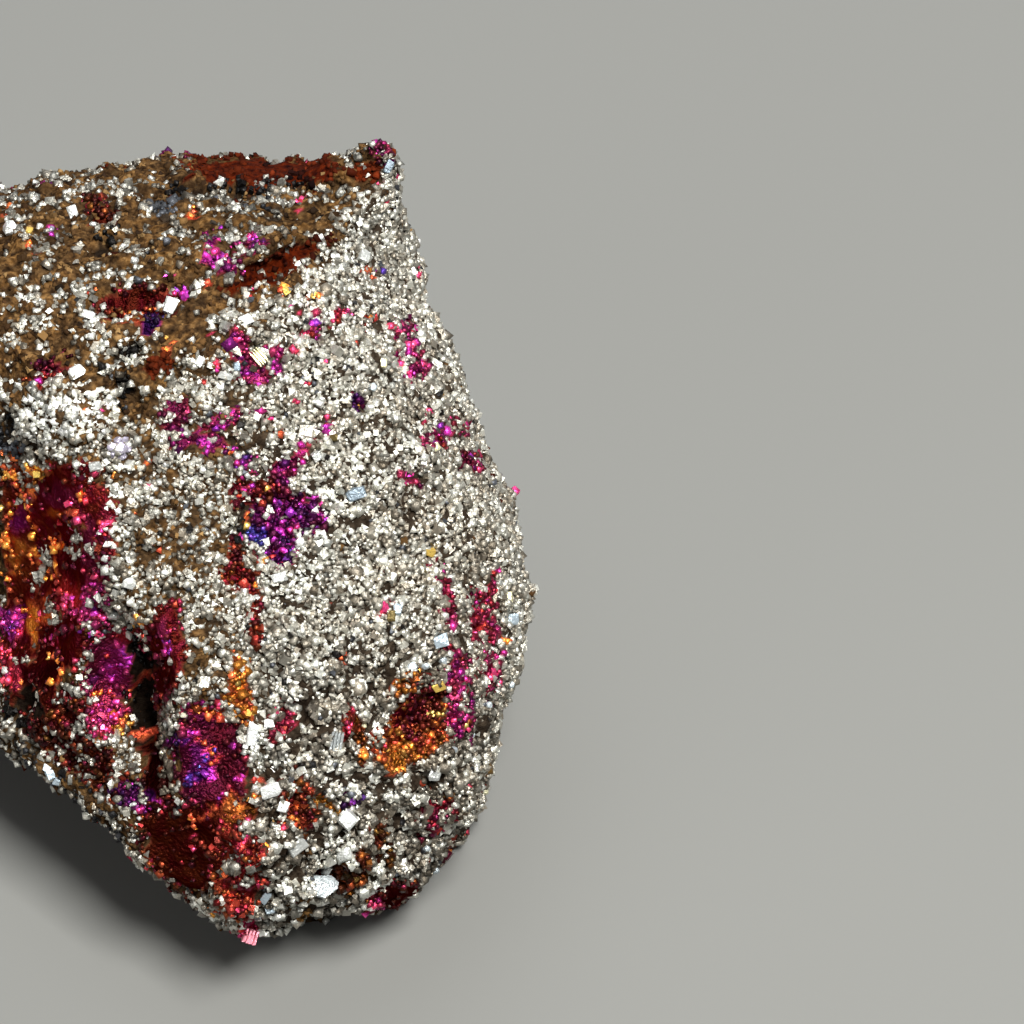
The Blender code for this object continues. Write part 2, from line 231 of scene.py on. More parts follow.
SINGLE_STOPS = (
    (0.0, (0.22, 0.28, 0.34)),
    (0.14, (0.55, 0.66, 0.74)),
    (0.3, (0.66, 0.68, 0.66)),
    (0.45, (0.86, 0.82, 0.52)),
    (0.58, (0.82, 0.56, 0.13)),
    (0.72, (0.16, 0.12, 0.04)),
    (0.84, (0.46, 0.43, 0.54)),
    (1.0, (0.85, 0.30, 0.38)),
)

# Each material of crystals: its name and colours, how metallic it is, its lowest and highest
# roughness, how far soft clouds change its brightness, its bump and its specular level
CRYSTAL_LOOKS = {
    SILVER: ("silver_grain", SILVER_STOPS, 0.75, (0.28, 0.55), 0.06, 0.7, 0.3),
    TAN: ("tan_matrix_grain", TAN_STOPS, 0.0, (0.6, 0.9), 0.06, 0.6, 0.1),
    RUST: ("rust_grain", RUST_STOPS, 0.0, (0.7, 0.9), 0.06, 0.6, 0.05),
    TARNISH: ("tarnished_grain", TARNISH_STOPS, 0.75, (0.22, 0.45), 0.06, 0.5, 0.3),
    DARK: ("slate_and_painted_shade_grain", DARK_STOPS, 0.5, (0.3, 0.5), 0.06, 0.5, 0.3),
}
SINGLE_LOOK = ("single_crystal", SINGLE_STOPS, 0.6, (0.2, 0.5), 0.02, 0.6, 0.3)
NOISE_SPAN = (0.3, 0.7)  # where nearly all of a noise texture's values lie
SOFT_DETAIL = 2.0
CLOUD_SPACING = 6.0 * MM
ROUGHNESS_SPACING = 0.5 * MM
GRAIN_BUMP_SPACING = 0.11 * MM
BUMP_DETAIL = 3.0
BUMP_DEPTH = 0.4  # a bump's height, as a share of its spacing

# The skin's ground: in the gaps, in the matrix and where it is rusty, on fine grit.
# The gap colour is partly the ore's own dark ground and partly painted shade between crystals.
GAP_STOPS = ((0.0, (0.012, 0.009, 0.006)), (1.0, (0.056, 0.042, 0.029)))
TAN_GROUND_STOPS = (
    (0.0, (0.012, 0.006, 0.002)),
    (0.5, (0.085, 0.042, 0.013)),
    (1.0, (0.22, 0.12, 0.042)),
)
RUST_GROUND_STOPS = ((0.0, (0.006, 0.001, 0.001)), (1.0, (0.085, 0.011, 0.002)))
GRIT_SPACING = 0.35 * MM
GRIT_DETAIL = 4.0
GROUND_BUMP_SPACING = 0.22 * MM
GROUND_BUMP = 1.0
GROUND_SPECULAR = 0.1
FILM_ROUGHNESS = (0.9, 0.42)  # bare, and with a film of tarnish
FILM_SHADE = 0.9  # a film's brightness, against its crystals'
FILM_END_TONE = 0.66  # the tone that the films run out in
FILM_RIM = (0.35, 0.04, 0.05, 1.0)  # the colour that a film has where it is seen from the side
GAP_PAINTED_SHADE_ON_TAN = 0.8  # how much of the matrix's tan gives way to the dark ground in the gaps: painted shade

# ------------------------------------------------------------------ the ground's areas

# Layers of the matrix, as in the solid
LAYER_NORMAL = Vector((-0.42, 0.84, -0.34)).normalized()
LAYER_GAP = 2.3 * MM
LAYER_WANDER = (0.9, 7.0 * MM)  # how far they wander, in layers, and over what length
LAYER_SEAM = 0.8  # how far up a layer its darker seam starts

# The line where the layered top ends and the silver face begins, and how wide the change is
RIDGE = (
    (-40.0, 0.0), (-11.0, 7.0), (-8.0, 8.5), (-4.4, 7.4), (-0.6, 9.4), (2.0, 11.6), (4.6, 13.4),
    (6.6, 15.0), (8.2, 17.0), (9.6, 19.8), (20.0, 30.0),
)
RIDGE_WIDTH = 1.8

# Where the other areas start and where they are complete: by how far the surface faces out
# of the grid, or in mm across or up the grid
BEHIND_FACING = (0.1, -0.3)
LEFT_FADE = (5.0, -1.0)
RIGHT_FADE = (8.0, 14.0)
FAR_FADE = (13.0, 18.0)
UNSEEN_FACING = (-0.05, -0.35)
UNSEEN_FADE = (-11.5, -13.0)  # the left end, past what the camera sees
SEEN_FACING = (-0.1, 0.1)
STEEP_FACING = (-0.4, -0.2)  # dark patches go on to steeper walls than others

# The share of tan crystals: on the silver face, and what each area adds
TAN_SHARE = 0.015
LEFT_TAN = 0.185
TOP_TAN = 0.445
FAR_TAN = 0.12
# How far the share swings from place to place
TAN_SWING = 0.04
TOP_SWING = 0.56
LEFT_SWING = 0.26
BACK_TAN = (0.3, 0.4, 0.3, 0.25)  # on the back: the least, and what layer, drift and fine noise add
MUD_TAN = 0.93
DRIFT_SPACING = 6.0 * MM
FINE_SPACING = 1.4 * MM
LEFT_MATRIX = 0.8  # how much of a matrix the left side is

# Tones and shades of the silver and the tan crystals
SILVER_TONE = 0.62
LEFT_DULLNESS = 0.1
FAR_DULLNESS = 0.1
# Painted shade: the silver is darker in tone on the right side
RIGHT_PAINTED_SHADE = 0.15
TAN_TONE = 0.68
TAN_DRIFT = 0.25
SEAM_DARKNESS = 0.25
NUGGET_TONES = 0.3  # how far tones differ from nugget to nugget
GAP_PAINTED_SHADE_TONE = 0.35  # how much darker tones are in the gaps: painted shade
COARSE_GAP_PAINTED_SHADE_TONE = 0.3  # what the coarse corner adds
TONE_SPREAD = 0.16
BASE_SHADE = 0.85
CLUMP_SHADE = 0.25
FAR_SHADE = 0.25
GAP_PAINTED_SHADE = 0.3  # how much darker shades are in the gaps: painted shade
ROUGH_GAP_PAINTED_SHADE = 0.3  # what the coarse corner and the matrix add
SHADE_SPREAD = 0.1
SHADE_LIMITS = (0.2, 1.3)
DARK_SHARE = 0.025  # dark crystals among the silver ones

# Tarnish and rust on the sides that the camera doesn't see, spread by noise at two spacings
UNSEEN_SPACING = (5.0 * MM, 1.5 * MM)
UNSEEN_FINE = 0.5
UNSEEN_HUE_SPACING = (7.0 * MM, 1.2 * MM)
UNSEEN_HUE_FINE = 0.3
UNSEEN_TARNISH = 0.9
UNSEEN_TARNISH_EDGE = (0.22, 0.42)
UNSEEN_TONE = 0.55
UNSEEN_TONE_SWING = 0.7
UNSEEN_TONE_LIMITS = (0.05, 1.0)
UNSEEN_SHADE = 0.75
UNSEEN_RUST = 0.8
UNSEEN_RUST_EDGE = (-0.25, -0.45)
UNSEEN_RUST_TONE = 0.6
UNSEEN_RUST_SHADE = 1.0
RUST_NEEDS_MATRIX = 0.4

# Ovals where tan matrix covers the crystals
MUD = (
    (-4.0, 20.5, 4.2, 0.9, 8), (7.3, 20.2, 2.0, 0.9, 0), (5.6, 17.7, 1.6, 1.1, 20),
    (-0.4, 12.7, 2.6, 1.0, 25), (-3.3, 7.9, 1.7, 0.8, 80), (-6.0, 17.3, 1.5, 0.5, 30),
    (-8.0, 14.6, 1.4, 0.6, 10), (4.6, 14.2, 1.3, 0.5, 20), (-2.9, 14.9, 1.0, 0.5, 0),
    (1.0, 13.7, 1.5, 0.6, 10), (-7.7, 11.3, 1.8, 0.5, 10), (-7.3, 3.6, 0.9, 0.6, 0),
    (-1.2, -1.2, 0.8, 0.5, 30), (-1.0, 10.9, 1.6, 0.8, 20), (-2.3, 9.3, 1.0, 0.6, 80),
    (-0.6, -6.6, 0.9, 0.5, 60), (-9.8, 9.6, 1.3, 0.8, 20),
)
MUD_EDGE = (1.2, 0.8)

# Patches: an oval, kind, tone, shade, and the share of the crystals in it that it stains.
# The later ones lie over the earlier.
PATCHES = {
    "stained hollow": (-7.6, 0.1, 4.1, 2.6, 82, TARNISH, 0.64, 0.69, 0.98),
    "wall of the hollow": (-8.6, -4.6, 4.6, 2.5, 82, TARNISH, 0.65, 0.65, 0.97),
    "bottom of the hollow": (-8.3, -8.6, 2.4, 2.0, 0, TARNISH, 0.66, 0.35, 0.85),
    "bright silver over the hollow": (-7.4, 6.8, 2.6, 1.5, 12, SILVER, 0.8, 1.0, 0.6),
    "bright silver by the hollow": (-4.6, 0.6, 1.0, 3.6, 0, SILVER, 0.72, 1.0, 0.3),
    "bright silver by the facet": (3.3, -11.6, 2.6, 0.7, 92, SILVER, 0.8, 1.0, 0.6),
    "bright silver in the middle": (6.6, -0.6, 3.2, 1.3, 70, SILVER, 0.8, 1.0, 0.35),
    # painted shade: the foot of the hollow is painted dark in its crevice
    "black foot of the hollow": (-9.8, -9.2, 0.8, 1.6, 0, DARK, 0.0, 0.2, 0.95),
    "orange brow": (-9.0, 3.6, 0.5, 0.3, 20, TARNISH, 0.84, 1.5, 0.9),
    "pink end of the brow": (-10.5, 3.4, 0.5, 0.6, 90, TARNISH, 0.72, 1.0, 0.5),
    "orange side": (-10.3, 0.4, 3.8, 0.8, 92, TARNISH, 0.72, 0.6, 0.97),
    "magenta rim": (-6.1, -2.0, 3.4, 0.8, 93, TARNISH, 0.53, 0.6, 0.85),
    "red beads on the rim": (-6.8, 1.6, 1.1, 0.5, 80, TARNISH, 0.6, 0.8, 0.6),
    "bright beads on the rim": (-5.7, -2.3, 0.6, 0.35, 80, TARNISH, 0.46, 1.4, 0.8),
    "bright beads, lower": (-5.6, -3.9, 0.5, 0.35, 80, TARNISH, 0.42, 1.4, 0.8),
    "violet edge": (-10.6, -4.6, 0.9, 0.5, 70, TARNISH, 0.37, 1.7, 0.97),
    "pink foot of the hollow": (-10.7, -6.9, 1.2, 0.6, 100, TARNISH, 0.6, 1.6, 0.9),
    "grey beads in the hollow": (-7.0, -8.1, 1.5, 1.0, 160, SILVER, 0.5, 0.75, 0.6),
    "pocket": (-4.8, -6.9, 2.1, 1.3, 80, TARNISH, 0.5, 0.65, 0.97),
    "red wall": (-2.0, -6.3, 2.9, 1.2, 82, TARNISH, 0.64, 0.55, 0.97),
    "pink foot of the pocket": (-5.1, -9.8, 1.2, 1.0, 20, TARNISH, 0.52, 1.5, 0.9),
    "orange clump": (-4.2, -10.3, 0.4, 0.8, 0, TARNISH, 0.87, 1.6, 0.9),
    # painted shade: the deep cleft is painted dark
    "black cleft": (-3.2, -8.6, 3.6, 0.7, 98, DARK, 0.0, 0.2, 0.97),
    "foot of the cleft": (-2.5, -12.8, 2.2, 0.8, 95, TARNISH, 0.68, 0.12, 0.9),
    "purple facet": (0.5, -12.2, 3.0, 1.9, 97, TARNISH, 0.5, 0.34, 0.97),
    "mauve side of the facet": (1.6, -12.2, 2.4, 0.8, 95, TARNISH, 0.56, 0.3, 0.85),
    "blue heart of the facet": (-0.2, -12.9, 0.6, 0.45, 20, TARNISH, 0.08, 0.9, 0.6),
    "violet corner of the facet": (-0.9, -10.8, 0.8, 0.4, 40, TARNISH, 0.25, 0.8, 0.6),
    "pink corner of the facet": (-0.5, -10.4, 0.5, 0.35, 30, TARNISH, 0.5, 1.6, 0.9),
    "pink edge of the facet": (0.6, -9.5, 0.9, 0.35, 5, TARNISH, 0.74, 1.4, 0.85),
    "maroon under the facet": (0.4, -15.7, 1.7, 1.4, 10, TARNISH, 0.68, 0.3, 0.96),
    "amber under the facet": (2.0, -15.3, 1.1, 0.8, 30, TARNISH, 0.8, 0.3, 0.9),
    "shaded foot": (-1.2, -17.2, 2.7, 1.7, 125, TARNISH, 0.69, 0.3, 0.97),
    "pink foot": (1.9, -18.2, 2.7, 1.4, 100, TARNISH, 0.66, 0.9, 0.75),
    "olive strip": (-1.8, -11.7, 2.5, 0.3, 92, SILVER, 0.12, 0.6, 0.9),
    "orange streak": (2.3, -8.4, 2.0, 0.65, 96, TARNISH, 0.83, 1.5, 0.9),
    "red streak": (4.5, -10.0, 1.1, 0.4, 80, TARNISH, 0.6, 0.9, 0.85),
    "purple patch": (4.9, 1.3, 1.9, 1.2, 0, TARNISH, 0.37, 0.3, 0.93),
    "top of the patch": (4.6, 3.3, 1.2, 0.6, 80, TARNISH, 0.46, 0.38, 0.9),
    "tip of the patch": (5.4, 4.5, 0.6, 0.25, 50, TARNISH, 0.5, 0.6, 0.8),
    "foot of the patch": (4.4, -0.5, 1.0, 0.9, 90, TARNISH, 0.33, 0.3, 0.9),
    "maroon of the patch": (2.9, 2.6, 1.2, 0.9, 0, TARNISH, 0.62, 0.35, 0.93),
    "violet above the patch": (2.5, 4.3, 0.5, 0.35, 0, TARNISH, 0.3, 0.4, 0.9),
    "dark side of the patch": (2.5, 0.9, 0.6, 1.1, 0, DARK, 0.15, 0.6, 0.85),
    "blue heart of the patch": (3.3, 0.4, 0.5, 0.4, 80, TARNISH, 0.08, 1.1, 0.9),
    "red side of the patch": (2.0, -0.8, 0.4, 0.9, 0, TARNISH, 0.66, 0.3, 0.8),
    "chain under the patch": (2.3, -2.1, 1.2, 0.6, 165, TARNISH, 0.67, 0.6, 0.85),
    "chain on downwards": (3.1, -4.4, 1.9, 0.3, 88, TARNISH, 0.69, 0.5, 0.9),
    "magenta on the ridge": (0.6, 16.0, 0.8, 0.4, 100, TARNISH, 0.4, 1.0, 0.7),
    "magenta over the slot": (2.8, 16.4, 0.8, 0.5, 20, TARNISH, 0.4, 1.0, 0.75),
    "magenta to the slot": (1.4, 15.2, 0.9, 0.4, 150, TARNISH, 0.4, 0.8, 0.75),
    "pink crystals, left": (2.3, 10.6, 1.0, 0.35, 120, TARNISH, 0.43, 1.1, 0.85),
    "pink crystals, below": (3.0, 9.2, 0.9, 0.4, 5, TARNISH, 0.43, 1.0, 0.75),
    "pink crystals, right": (4.3, 10.0, 0.7, 0.4, 100, TARNISH, 0.45, 1.1, 0.8),
    "pink grains": (6.3, 11.6, 0.7, 0.3, 80, TARNISH, 0.54, 1.7, 0.9),
    "pink grains, right": (7.6, 12.4, 0.6, 0.35, 20, TARNISH, 0.56, 1.7, 0.9),
    "magenta scatter": (1.2, 6.6, 1.4, 0.5, 25, TARNISH, 0.44, 1.1, 0.55),
    "magenta scatter, left": (-1.4, 6.9, 0.7, 1.0, 0, TARNISH, 0.48, 0.5, 0.55),
    "magenta scatter, low": (0.2, 5.3, 1.8, 0.35, 175, TARNISH, 0.43, 0.6, 0.6),
    "right scatter": (11.6, 10.9, 1.3, 0.5, 110, TARNISH, 0.47, 1.0, 0.6),
    "right scatter, low": (12.0, 9.3, 0.7, 0.5, 30, TARNISH, 0.47, 0.7, 0.75),
    "dark spot": (8.6, 7.5, 0.5, 0.5, 0, TARNISH, 0.28, 0.4, 0.9),
    "right patch": (13.4, 5.8, 1.5, 0.7, 30, TARNISH, 0.5, 0.8, 0.65),
    "right patch, far": (14.8, 4.4, 0.6, 0.6, 0, TARNISH, 0.52, 0.6, 0.7),
    "small magenta": (11.6, 3.4, 0.6, 0.4, 0, TARNISH, 0.47, 1.3, 0.85),
    "thin line": (13.6, -2.9, 2.0, 0.25, 100, TARNISH, 0.5, 0.9, 0.8),
    "right red patch": (15.6, -4.1, 1.8, 0.7, 82, TARNISH, 0.57, 1.0, 0.8),
    "right red trail": (16.1, -6.8, 1.8, 0.5, 85, TARNISH, 0.52, 1.1, 0.65),
    "gold recess": (11.7, -10.5, 2.6, 1.4, 45, TARNISH, 0.76, 0.75, 0.92),
    "maroon in the recess": (12.2, -9.4, 1.6, 0.9, 60, TARNISH, 0.64, 0.4, 0.9),
    "gold foot of the recess": (11.1, -12.0, 1.0, 0.7, 30, TARNISH, 0.82, 1.1, 0.8),
    "magenta by the recess": (14.3, -8.5, 2.4, 0.8, 95, TARNISH, 0.47, 1.1, 0.85),
    "pink above the recess": (14.2, -6.6, 0.9, 0.4, 120, TARNISH, 0.52, 1.0, 0.85),
    "gold grains": (13.1, -9.6, 0.35, 0.25, 0, TARNISH, 0.95, 1.6, 0.9),
    "orange over the recess": (11.3, -8.0, 0.8, 0.5, 30, TARNISH, 0.84, 0.9, 0.7),
    "pink by the striped cube": (8.1, -10.0, 0.3, 1.0, 0, TARNISH, 0.6, 1.0, 0.8),
    "brown by the striped cube": (8.9, -11.0, 0.4, 1.1, 10, TARNISH, 0.8, 0.4, 0.8),
    "red patch, lower": (5.4, -14.4, 0.8, 1.6, 15, TARNISH, 0.72, 0.5, 0.85),
    "gold patch, lower": (7.2, -14.6, 0.7, 0.4, 150, TARNISH, 0.9, 1.0, 0.85),
    "violet spot, lower": (8.2, -14.3, 0.6, 0.3, 0, TARNISH, 0.25, 0.4, 0.8),
    "red patch, lower right": (13.1, -15.4, 1.5, 0.55, 45, TARNISH, 0.58, 0.6, 0.7),
    "red knob": (10.6, -19.8, 1.5, 0.9, 15, TARNISH, 0.67, 0.3, 0.95),
    "pink side of the knob": (9.6, -20.0, 0.6, 0.4, 20, TARNISH, 0.54, 1.1, 0.9),
    "brown by the blade": (8.3, -18.3, 1.2, 1.0, 60, TARNISH, 0.76, 0.25, 0.8),
    "brown ring": (9.9, -16.9, 1.4, 0.35, 100, TARNISH, 0.78, 0.3, 0.8),
    "olive by the tip": (5.4, -20.6, 1.2, 0.6, 0, TAN, 0.6, 1.0, 0.8),
    "slope under the hollow": (-6.4, -12.1, 3.6, 1.2, 143, TARNISH, 0.7, 0.22, 0.7),
    "purple on the slope": (-3.8, -14.0, 1.3, 0.7, 143, TARNISH, 0.3, 0.4, 0.6),
    "brown edge of the slope": (-7.3, -13.6, 4.6, 0.7, 143, TAN, 0.35, 0.7, 0.55),
    "dark edge of the slope": (-7.3, -13.9, 4.6, 0.8, 143, DARK, 0.2, 0.7, 0.35),
    "pink tip": (2.6, -21.7, 0.7, 0.5, 0, TARNISH, 0.56, 1.6, 1.0),
    "horn": (10.2, 20.8, 1.6, 0.6, 100, TARNISH, 0.48, 0.4, 0.4),
    "rust on the back edge": (3.4, 20.6, 4.2, 0.8, 0, RUST, 0.6, 1.1, 0.98),
    "dark back edge": (4.9, 20.1, 1.6, 0.3, 160, RUST, 0.1, 0.8, 0.8),
    "rust in the slot": (4.2, 15.2, 3.0, 0.6, 27, RUST, 0.45, 0.9, 0.95),
    "rust on the horn": (9.3, 20.4, 0.9, 0.5, 10, RUST, 0.7, 1.1, 0.7),
    "stained groove": (-3.6, 13.2, 2.3, 0.65, 12, TARNISH, 0.66, 0.3, 0.95),
    "foot of the groove": (-2.7, 12.1, 0.6, 0.4, 0, TARNISH, 0.2, 0.2, 0.9),
    "sparks along the groove": (-3.5, 12.5, 1.2, 0.2, 10, TARNISH, 0.76, 1.6, 0.8),
    "maroon spot": (-8.2, 9.6, 1.1, 0.5, 10, TARNISH, 0.55, 0.3, 0.9),
    "maroon spot, low": (-8.8, 8.9, 0.7, 0.3, 10, TARNISH, 0.64, 0.7, 0.85),
    "brown patch": (-5.5, 18.2, 1.0, 0.5, 165, TARNISH, 0.7, 0.2, 0.85),
    "rusty patch": (-2.3, 9.8, 0.9, 0.5, 20, RUST, 0.7, 1.1, 0.8),
    "slate on the layers": (-2.0, 18.2, 0.7, 0.35, 0, DARK, 0.6, 0.9, 0.95),
    "slate by the saddle": (4.0, 18.3, 0.4, 0.3, 0, DARK, 0.4, 0.8, 0.9),
    # painted shade: the black patch is painted dark in its crevice
    "black patch": (-10.6, 5.9, 0.8, 0.6, 60, DARK, 0.3, 0.5, 0.9),
    "slate by the brow": (-10.2, 4.9, 0.7, 0.4, 0, DARK, 0.7, 0.8, 0.7),
    # painted shade: the notch, the dark crevices and the shadow line are painted dark
    "notch in the layers": (-5.0, 16.7, 0.8, 0.25, 20, DARK, 0.0, 0.3, 0.7),
    "dark crevice": (-4.1, 8.3, 1.2, 0.3, 85, DARK, 0.0, 0.3, 0.7),
    "dark crevice, upper": (-4.2, 10.2, 1.2, 0.25, 30, DARK, 0.0, 0.3, 0.8),
    "shadow line": (1.0, 19.4, 4.2, 0.3, 3, DARK, 0.05, 0.4, 0.85),
}
PATCH_EDGE = (1.25, 0.8)
PATCH_STRAY = (0.55, 1.0 * MM)  # how far the patches' edges stray, in mm, and over what length
STAIN_DRIFT = 0.1  # how far a stain's tones differ from nugget to nugget
STAIN_TONE_SPREAD = 0.06
STAIN_SHADE_SPREAD = 0.35
PAINTED_GLINT_SHARE = 0.18  # the share of a tarnished patch's crystals that get a painted glint
PAINTED_GLINT = 1.3  # how bright the painted glints are
DULL = 0.3  # how bright the others are

# The colours that the smooth films run through: an oval, tone and shade
FILMS = {
    "purple, high in the hollow": (-8.1, 2.2, 1.0, 0.6, 0, 0.5, 0.22),
    "brown, high in the hollow": (-8.1, 1.3, 0.8, 0.45, 10, 0.8, 0.5),
    "purple on the left side": (-10.2, 0.8, 0.8, 0.45, 90, 0.4, 0.3),
    "amber on the left side": (-10.3, -0.9, 1.2, 0.45, 95, 0.82, 0.5),
    "amber lobe": (-9.6, -4.7, 1.2, 0.45, 95, 0.85, 1.1),
    "orange lobe": (-8.8, -4.0, 0.9, 0.4, 80, 0.78, 1.0),
    "red in the hollow": (-7.5, -3.0, 0.9, 0.6, 90, 0.65, 0.9),
    "purple by the rim": (-6.4, -3.4, 1.1, 0.6, 80, 0.45, 0.6),
    "red, high in the pocket": (-4.5, -5.4, 0.9, 0.7, 0, 0.64, 0.4),
    "purple in the pocket": (-4.6, -7.1, 1.1, 0.7, 80, 0.41, 0.4),
    "magenta on the wall": (-2.2, -5.4, 0.8, 0.5, 80, 0.48, 0.45),
    "violet on the facet": (-0.2, -12.3, 1.1, 0.5, 95, 0.33, 0.22),
    "brown under the facet": (1.8, -14.6, 1.0, 0.6, 100, 0.8, 0.4),
}
FILM_FADE = (1.3, 0.5)

# Small bright spots: kind, tone and shade, and the places of their middles
SPOT_SIZE = 0.16
SPOTS = {
    "orange": (TARNISH, 0.82, 1.3, (
        (-10.6, 4.7), (-10.1, 4.2), (-10.6, 3.7), (-10.2, 3.6), (-9.6, 3.5), (-9.6, 3.1), (-9.6, 2.5),
        (-9.6, 1.8), (-9.5, 1.3), (-9.6, 0.9), (-9.4, 0.4), (-9.3, -0.5), (-9.2, 3.9), (-9.0, 3.6),
        (-8.8, 3.5), (-9.3, 3.7), (-10.8, 0.4), (-10.9, 1.8), (-10.7, -1.9), (-8.0, -0.3), (-8.1, -1.3),
        (-9.4, -0.6), (-7.8, -6.7), (-8.2, -7.8), (-7.6, -7.3), (-10.9, -0.1), (-10.5, 1.6),
        (-10.8, 0.1), (-8.1, 0.0), (-7.9, -0.6), (-8.2, -1.6), (-8.3, -2.2), (-9.4, -1.0), (-9.3, -1.3),
        (-8.0, -6.2), (-3.5, -4.2), (-3.4, -4.6), (-5.6, -8.6), (-5.6, -11.1), (-4.1, -10.9),
        (2.7, 4.2), (1.6, 5.1), (-3.4, 1.2), (-2.2, -0.5), (-2.8, 4.3), (8.8, 7.4), (1.3, -18.1),
        (1.2, -18.3), (0.5, -19.1), (0.6, -20.2), (3.4, -17.0), (2.1, -14.6), (2.9, -14.1),
        (8.8, -11.7), (16.9, -5.6), (5.2, -15.6), (2.5, 2.5), (2.7, 0.9), (2.8, 1.2), (3.1, -2.4),
        (3.2, -2.1), (3.6, -1.4), (3.6, 2.6), (-1.5, 11.1), (-2.0, 10.5), (-6.0, 7.6), (4.6, 13.9),
        (6.2, 13.5), (-9.2, 16.2), (17.2, -12.3),
    )),
    "red": (TARNISH, 0.73, 1.0, (
        (-4.8, 3.6), (-3.7, 1.5), (-10.7, 0.9), (-10.0, -8.1), (-7.1, 1.5), (-6.6, 2.1), (-8.2, -1.8),
        (-3.2, -10.5), (-3.6, -8.0), (0.4, -9.7), (1.2, -9.6), (0.1, -11.1), (0.4, -11.8), (0.7, -12.2),
        (5.3, -14.8), (2.9, -13.2), (0.5, -14.6), (0.1, -15.0), (-0.2, -15.6), (9.6, 14.4), (9.5, 14.9),
        (9.2, 11.5), (8.9, 10.8), (9.6, 12.1), (0.4, 14.2), (-10.6, 18.2), (-0.3, 18.2), (0.2, 8.7),
        (12.8, -13.4), (10.1, -1.6), (4.4, 5.6), (7.9, -6.6), (6.9, -3.7), (-5.6, 13.8), (4.1, -0.9),
    )),
    "pink": (TARNISH, 0.54, 1.3, (
        (-5.5, 0.7), (-5.8, -2.0), (-6.0, -2.5), (-5.6, -3.9), (-7.2, -3.4), (-9.0, -3.9), (-7.6, -4.9),
        (-10.2, -5.0), (-8.3, -5.4), (1.1, -8.9), (-1.1, -9.9), (2.6, -15.8), (2.8, -16.3),
        (2.3, -16.8), (1.0, -18.6), (2.0, -18.4), (0.7, -20.8), (-2.8, -17.9), (-3.4, -17.2),
        (-0.5, -16.7), (4.7, -16.0), (1.0, 9.5), (0.7, 9.9), (5.2, 10.5), (6.9, 10.0), (5.9, 8.6),
        (5.0, 7.7), (1.6, 6.9), (2.0, 11.0), (10.7, 11.7), (11.9, 14.7), (5.7, 12.5), (2.8, 13.6),
        (0.7, 11.4), (9.8, 19.6), (10.2, 18.7), (4.2, -9.5), (4.3, -10.6), (8.1, -10.2), (7.1, 6.6),
        (6.4, 5.4), (10.9, 9.9), (5.6, 18.7), (14.9, -13.6), (3.9, 6.6), (12.4, 7.0), (0.2, -12.0),
        (9.9, -4.0), (10.3, -3.7),
    )),
    "magenta": (TARNISH, 0.37, 0.9, (
        (-6.6, -5.3), (-4.8, -7.6), (-1.6, -5.3), (-1.9, -5.9), (-2.6, 3.2), (3.3, 7.0), (2.1, 7.2),
        (4.7, 13.1), (0.5, 16.1), (3.0, 16.6), (3.1, 9.2), (3.9, 9.7), (2.9, 9.1), (11.3, 10.3),
        (11.7, 9.1), (4.2, 2.3), (4.0, 2.2), (4.5, 2.4), (5.1, 2.5), (6.0, 2.1), (6.3, 1.9), (6.6, 1.9),
        (6.6, 1.3), (5.4, 1.2), (5.0, 4.0), (5.5, 4.9), (4.6, 3.8), (4.5, -1.1), (4.3, -1.0),
        (3.2, -0.8), (2.1, 3.9), (2.3, 3.5), (2.6, 3.6), (2.1, 4.2), (2.6, 4.2), (2.8, 2.6),
        (-3.2, -14.9), (2.3, -12.9), (0.9, -14.0), (-8.2, 17.0), (-8.9, 8.6), (0.3, 5.0), (7.2, 6.1),
        (13.0, 6.4), (3.3, 3.9), (6.1, 2.1), (5.2, -0.7), (3.0, 3.0), (12.8, 5.4), (16.3, -1.9),
        (-5.6, 7.2),
    )),
    "violet": (TARNISH, 0.31, 1.3, (
        (-4.1, -6.7), (-4.3, -6.5), (-4.9, -7.4), (0.6, -12.9), (-0.4, -10.5), (-2.8, -14.8),
        (4.5, 0.5), (4.5, 0.2), (5.0, 0.1), (4.7, -0.4), (5.0, -0.5), (4.3, 1.0), (4.7, 1.5),
        (5.5, 1.9), (2.8, 0.4), (-6.2, -5.3), (-1.6, 14.7), (-1.0, 13.6), (1.1, 17.2), (6.4, 11.9),
    )),
    "grey green": (SILVER, 0.42, 0.8, (
        (-6.9, 0.7), (-6.8, 0.4), (-6.9, 0.1), (-7.0, -0.3), (-6.9, -0.6), (-7.2, -0.5), (-6.8, -0.8),
        (-8.5, -0.5), (-8.6, -0.8), (-8.7, -1.1), (-8.8, -1.4), (-8.9, -1.7), (-9.0, -2.0),
        (-9.2, -2.2), (-8.7, -1.9), (-8.9, -2.3), (-9.3, -2.5), (-8.2, -3.6), (-8.0, -3.9),
        (-7.9, -4.3), (-8.2, -4.4), (-5.9, -0.4), (-5.7, -0.7), (-5.6, -1.1), (-9.6, -6.3),
        (-9.4, -6.5), (-9.8, -6.6), (-9.8, 2.2),
    )),
    "blue": (TARNISH, 0.06, 0.9, (
        (-0.4, -12.8), (0.2, -12.2), (3.1, 0.6), (3.6, 0.1), (0.6, -11.6), (5.0, -0.9), (10.2, 14.9),
    )),
}

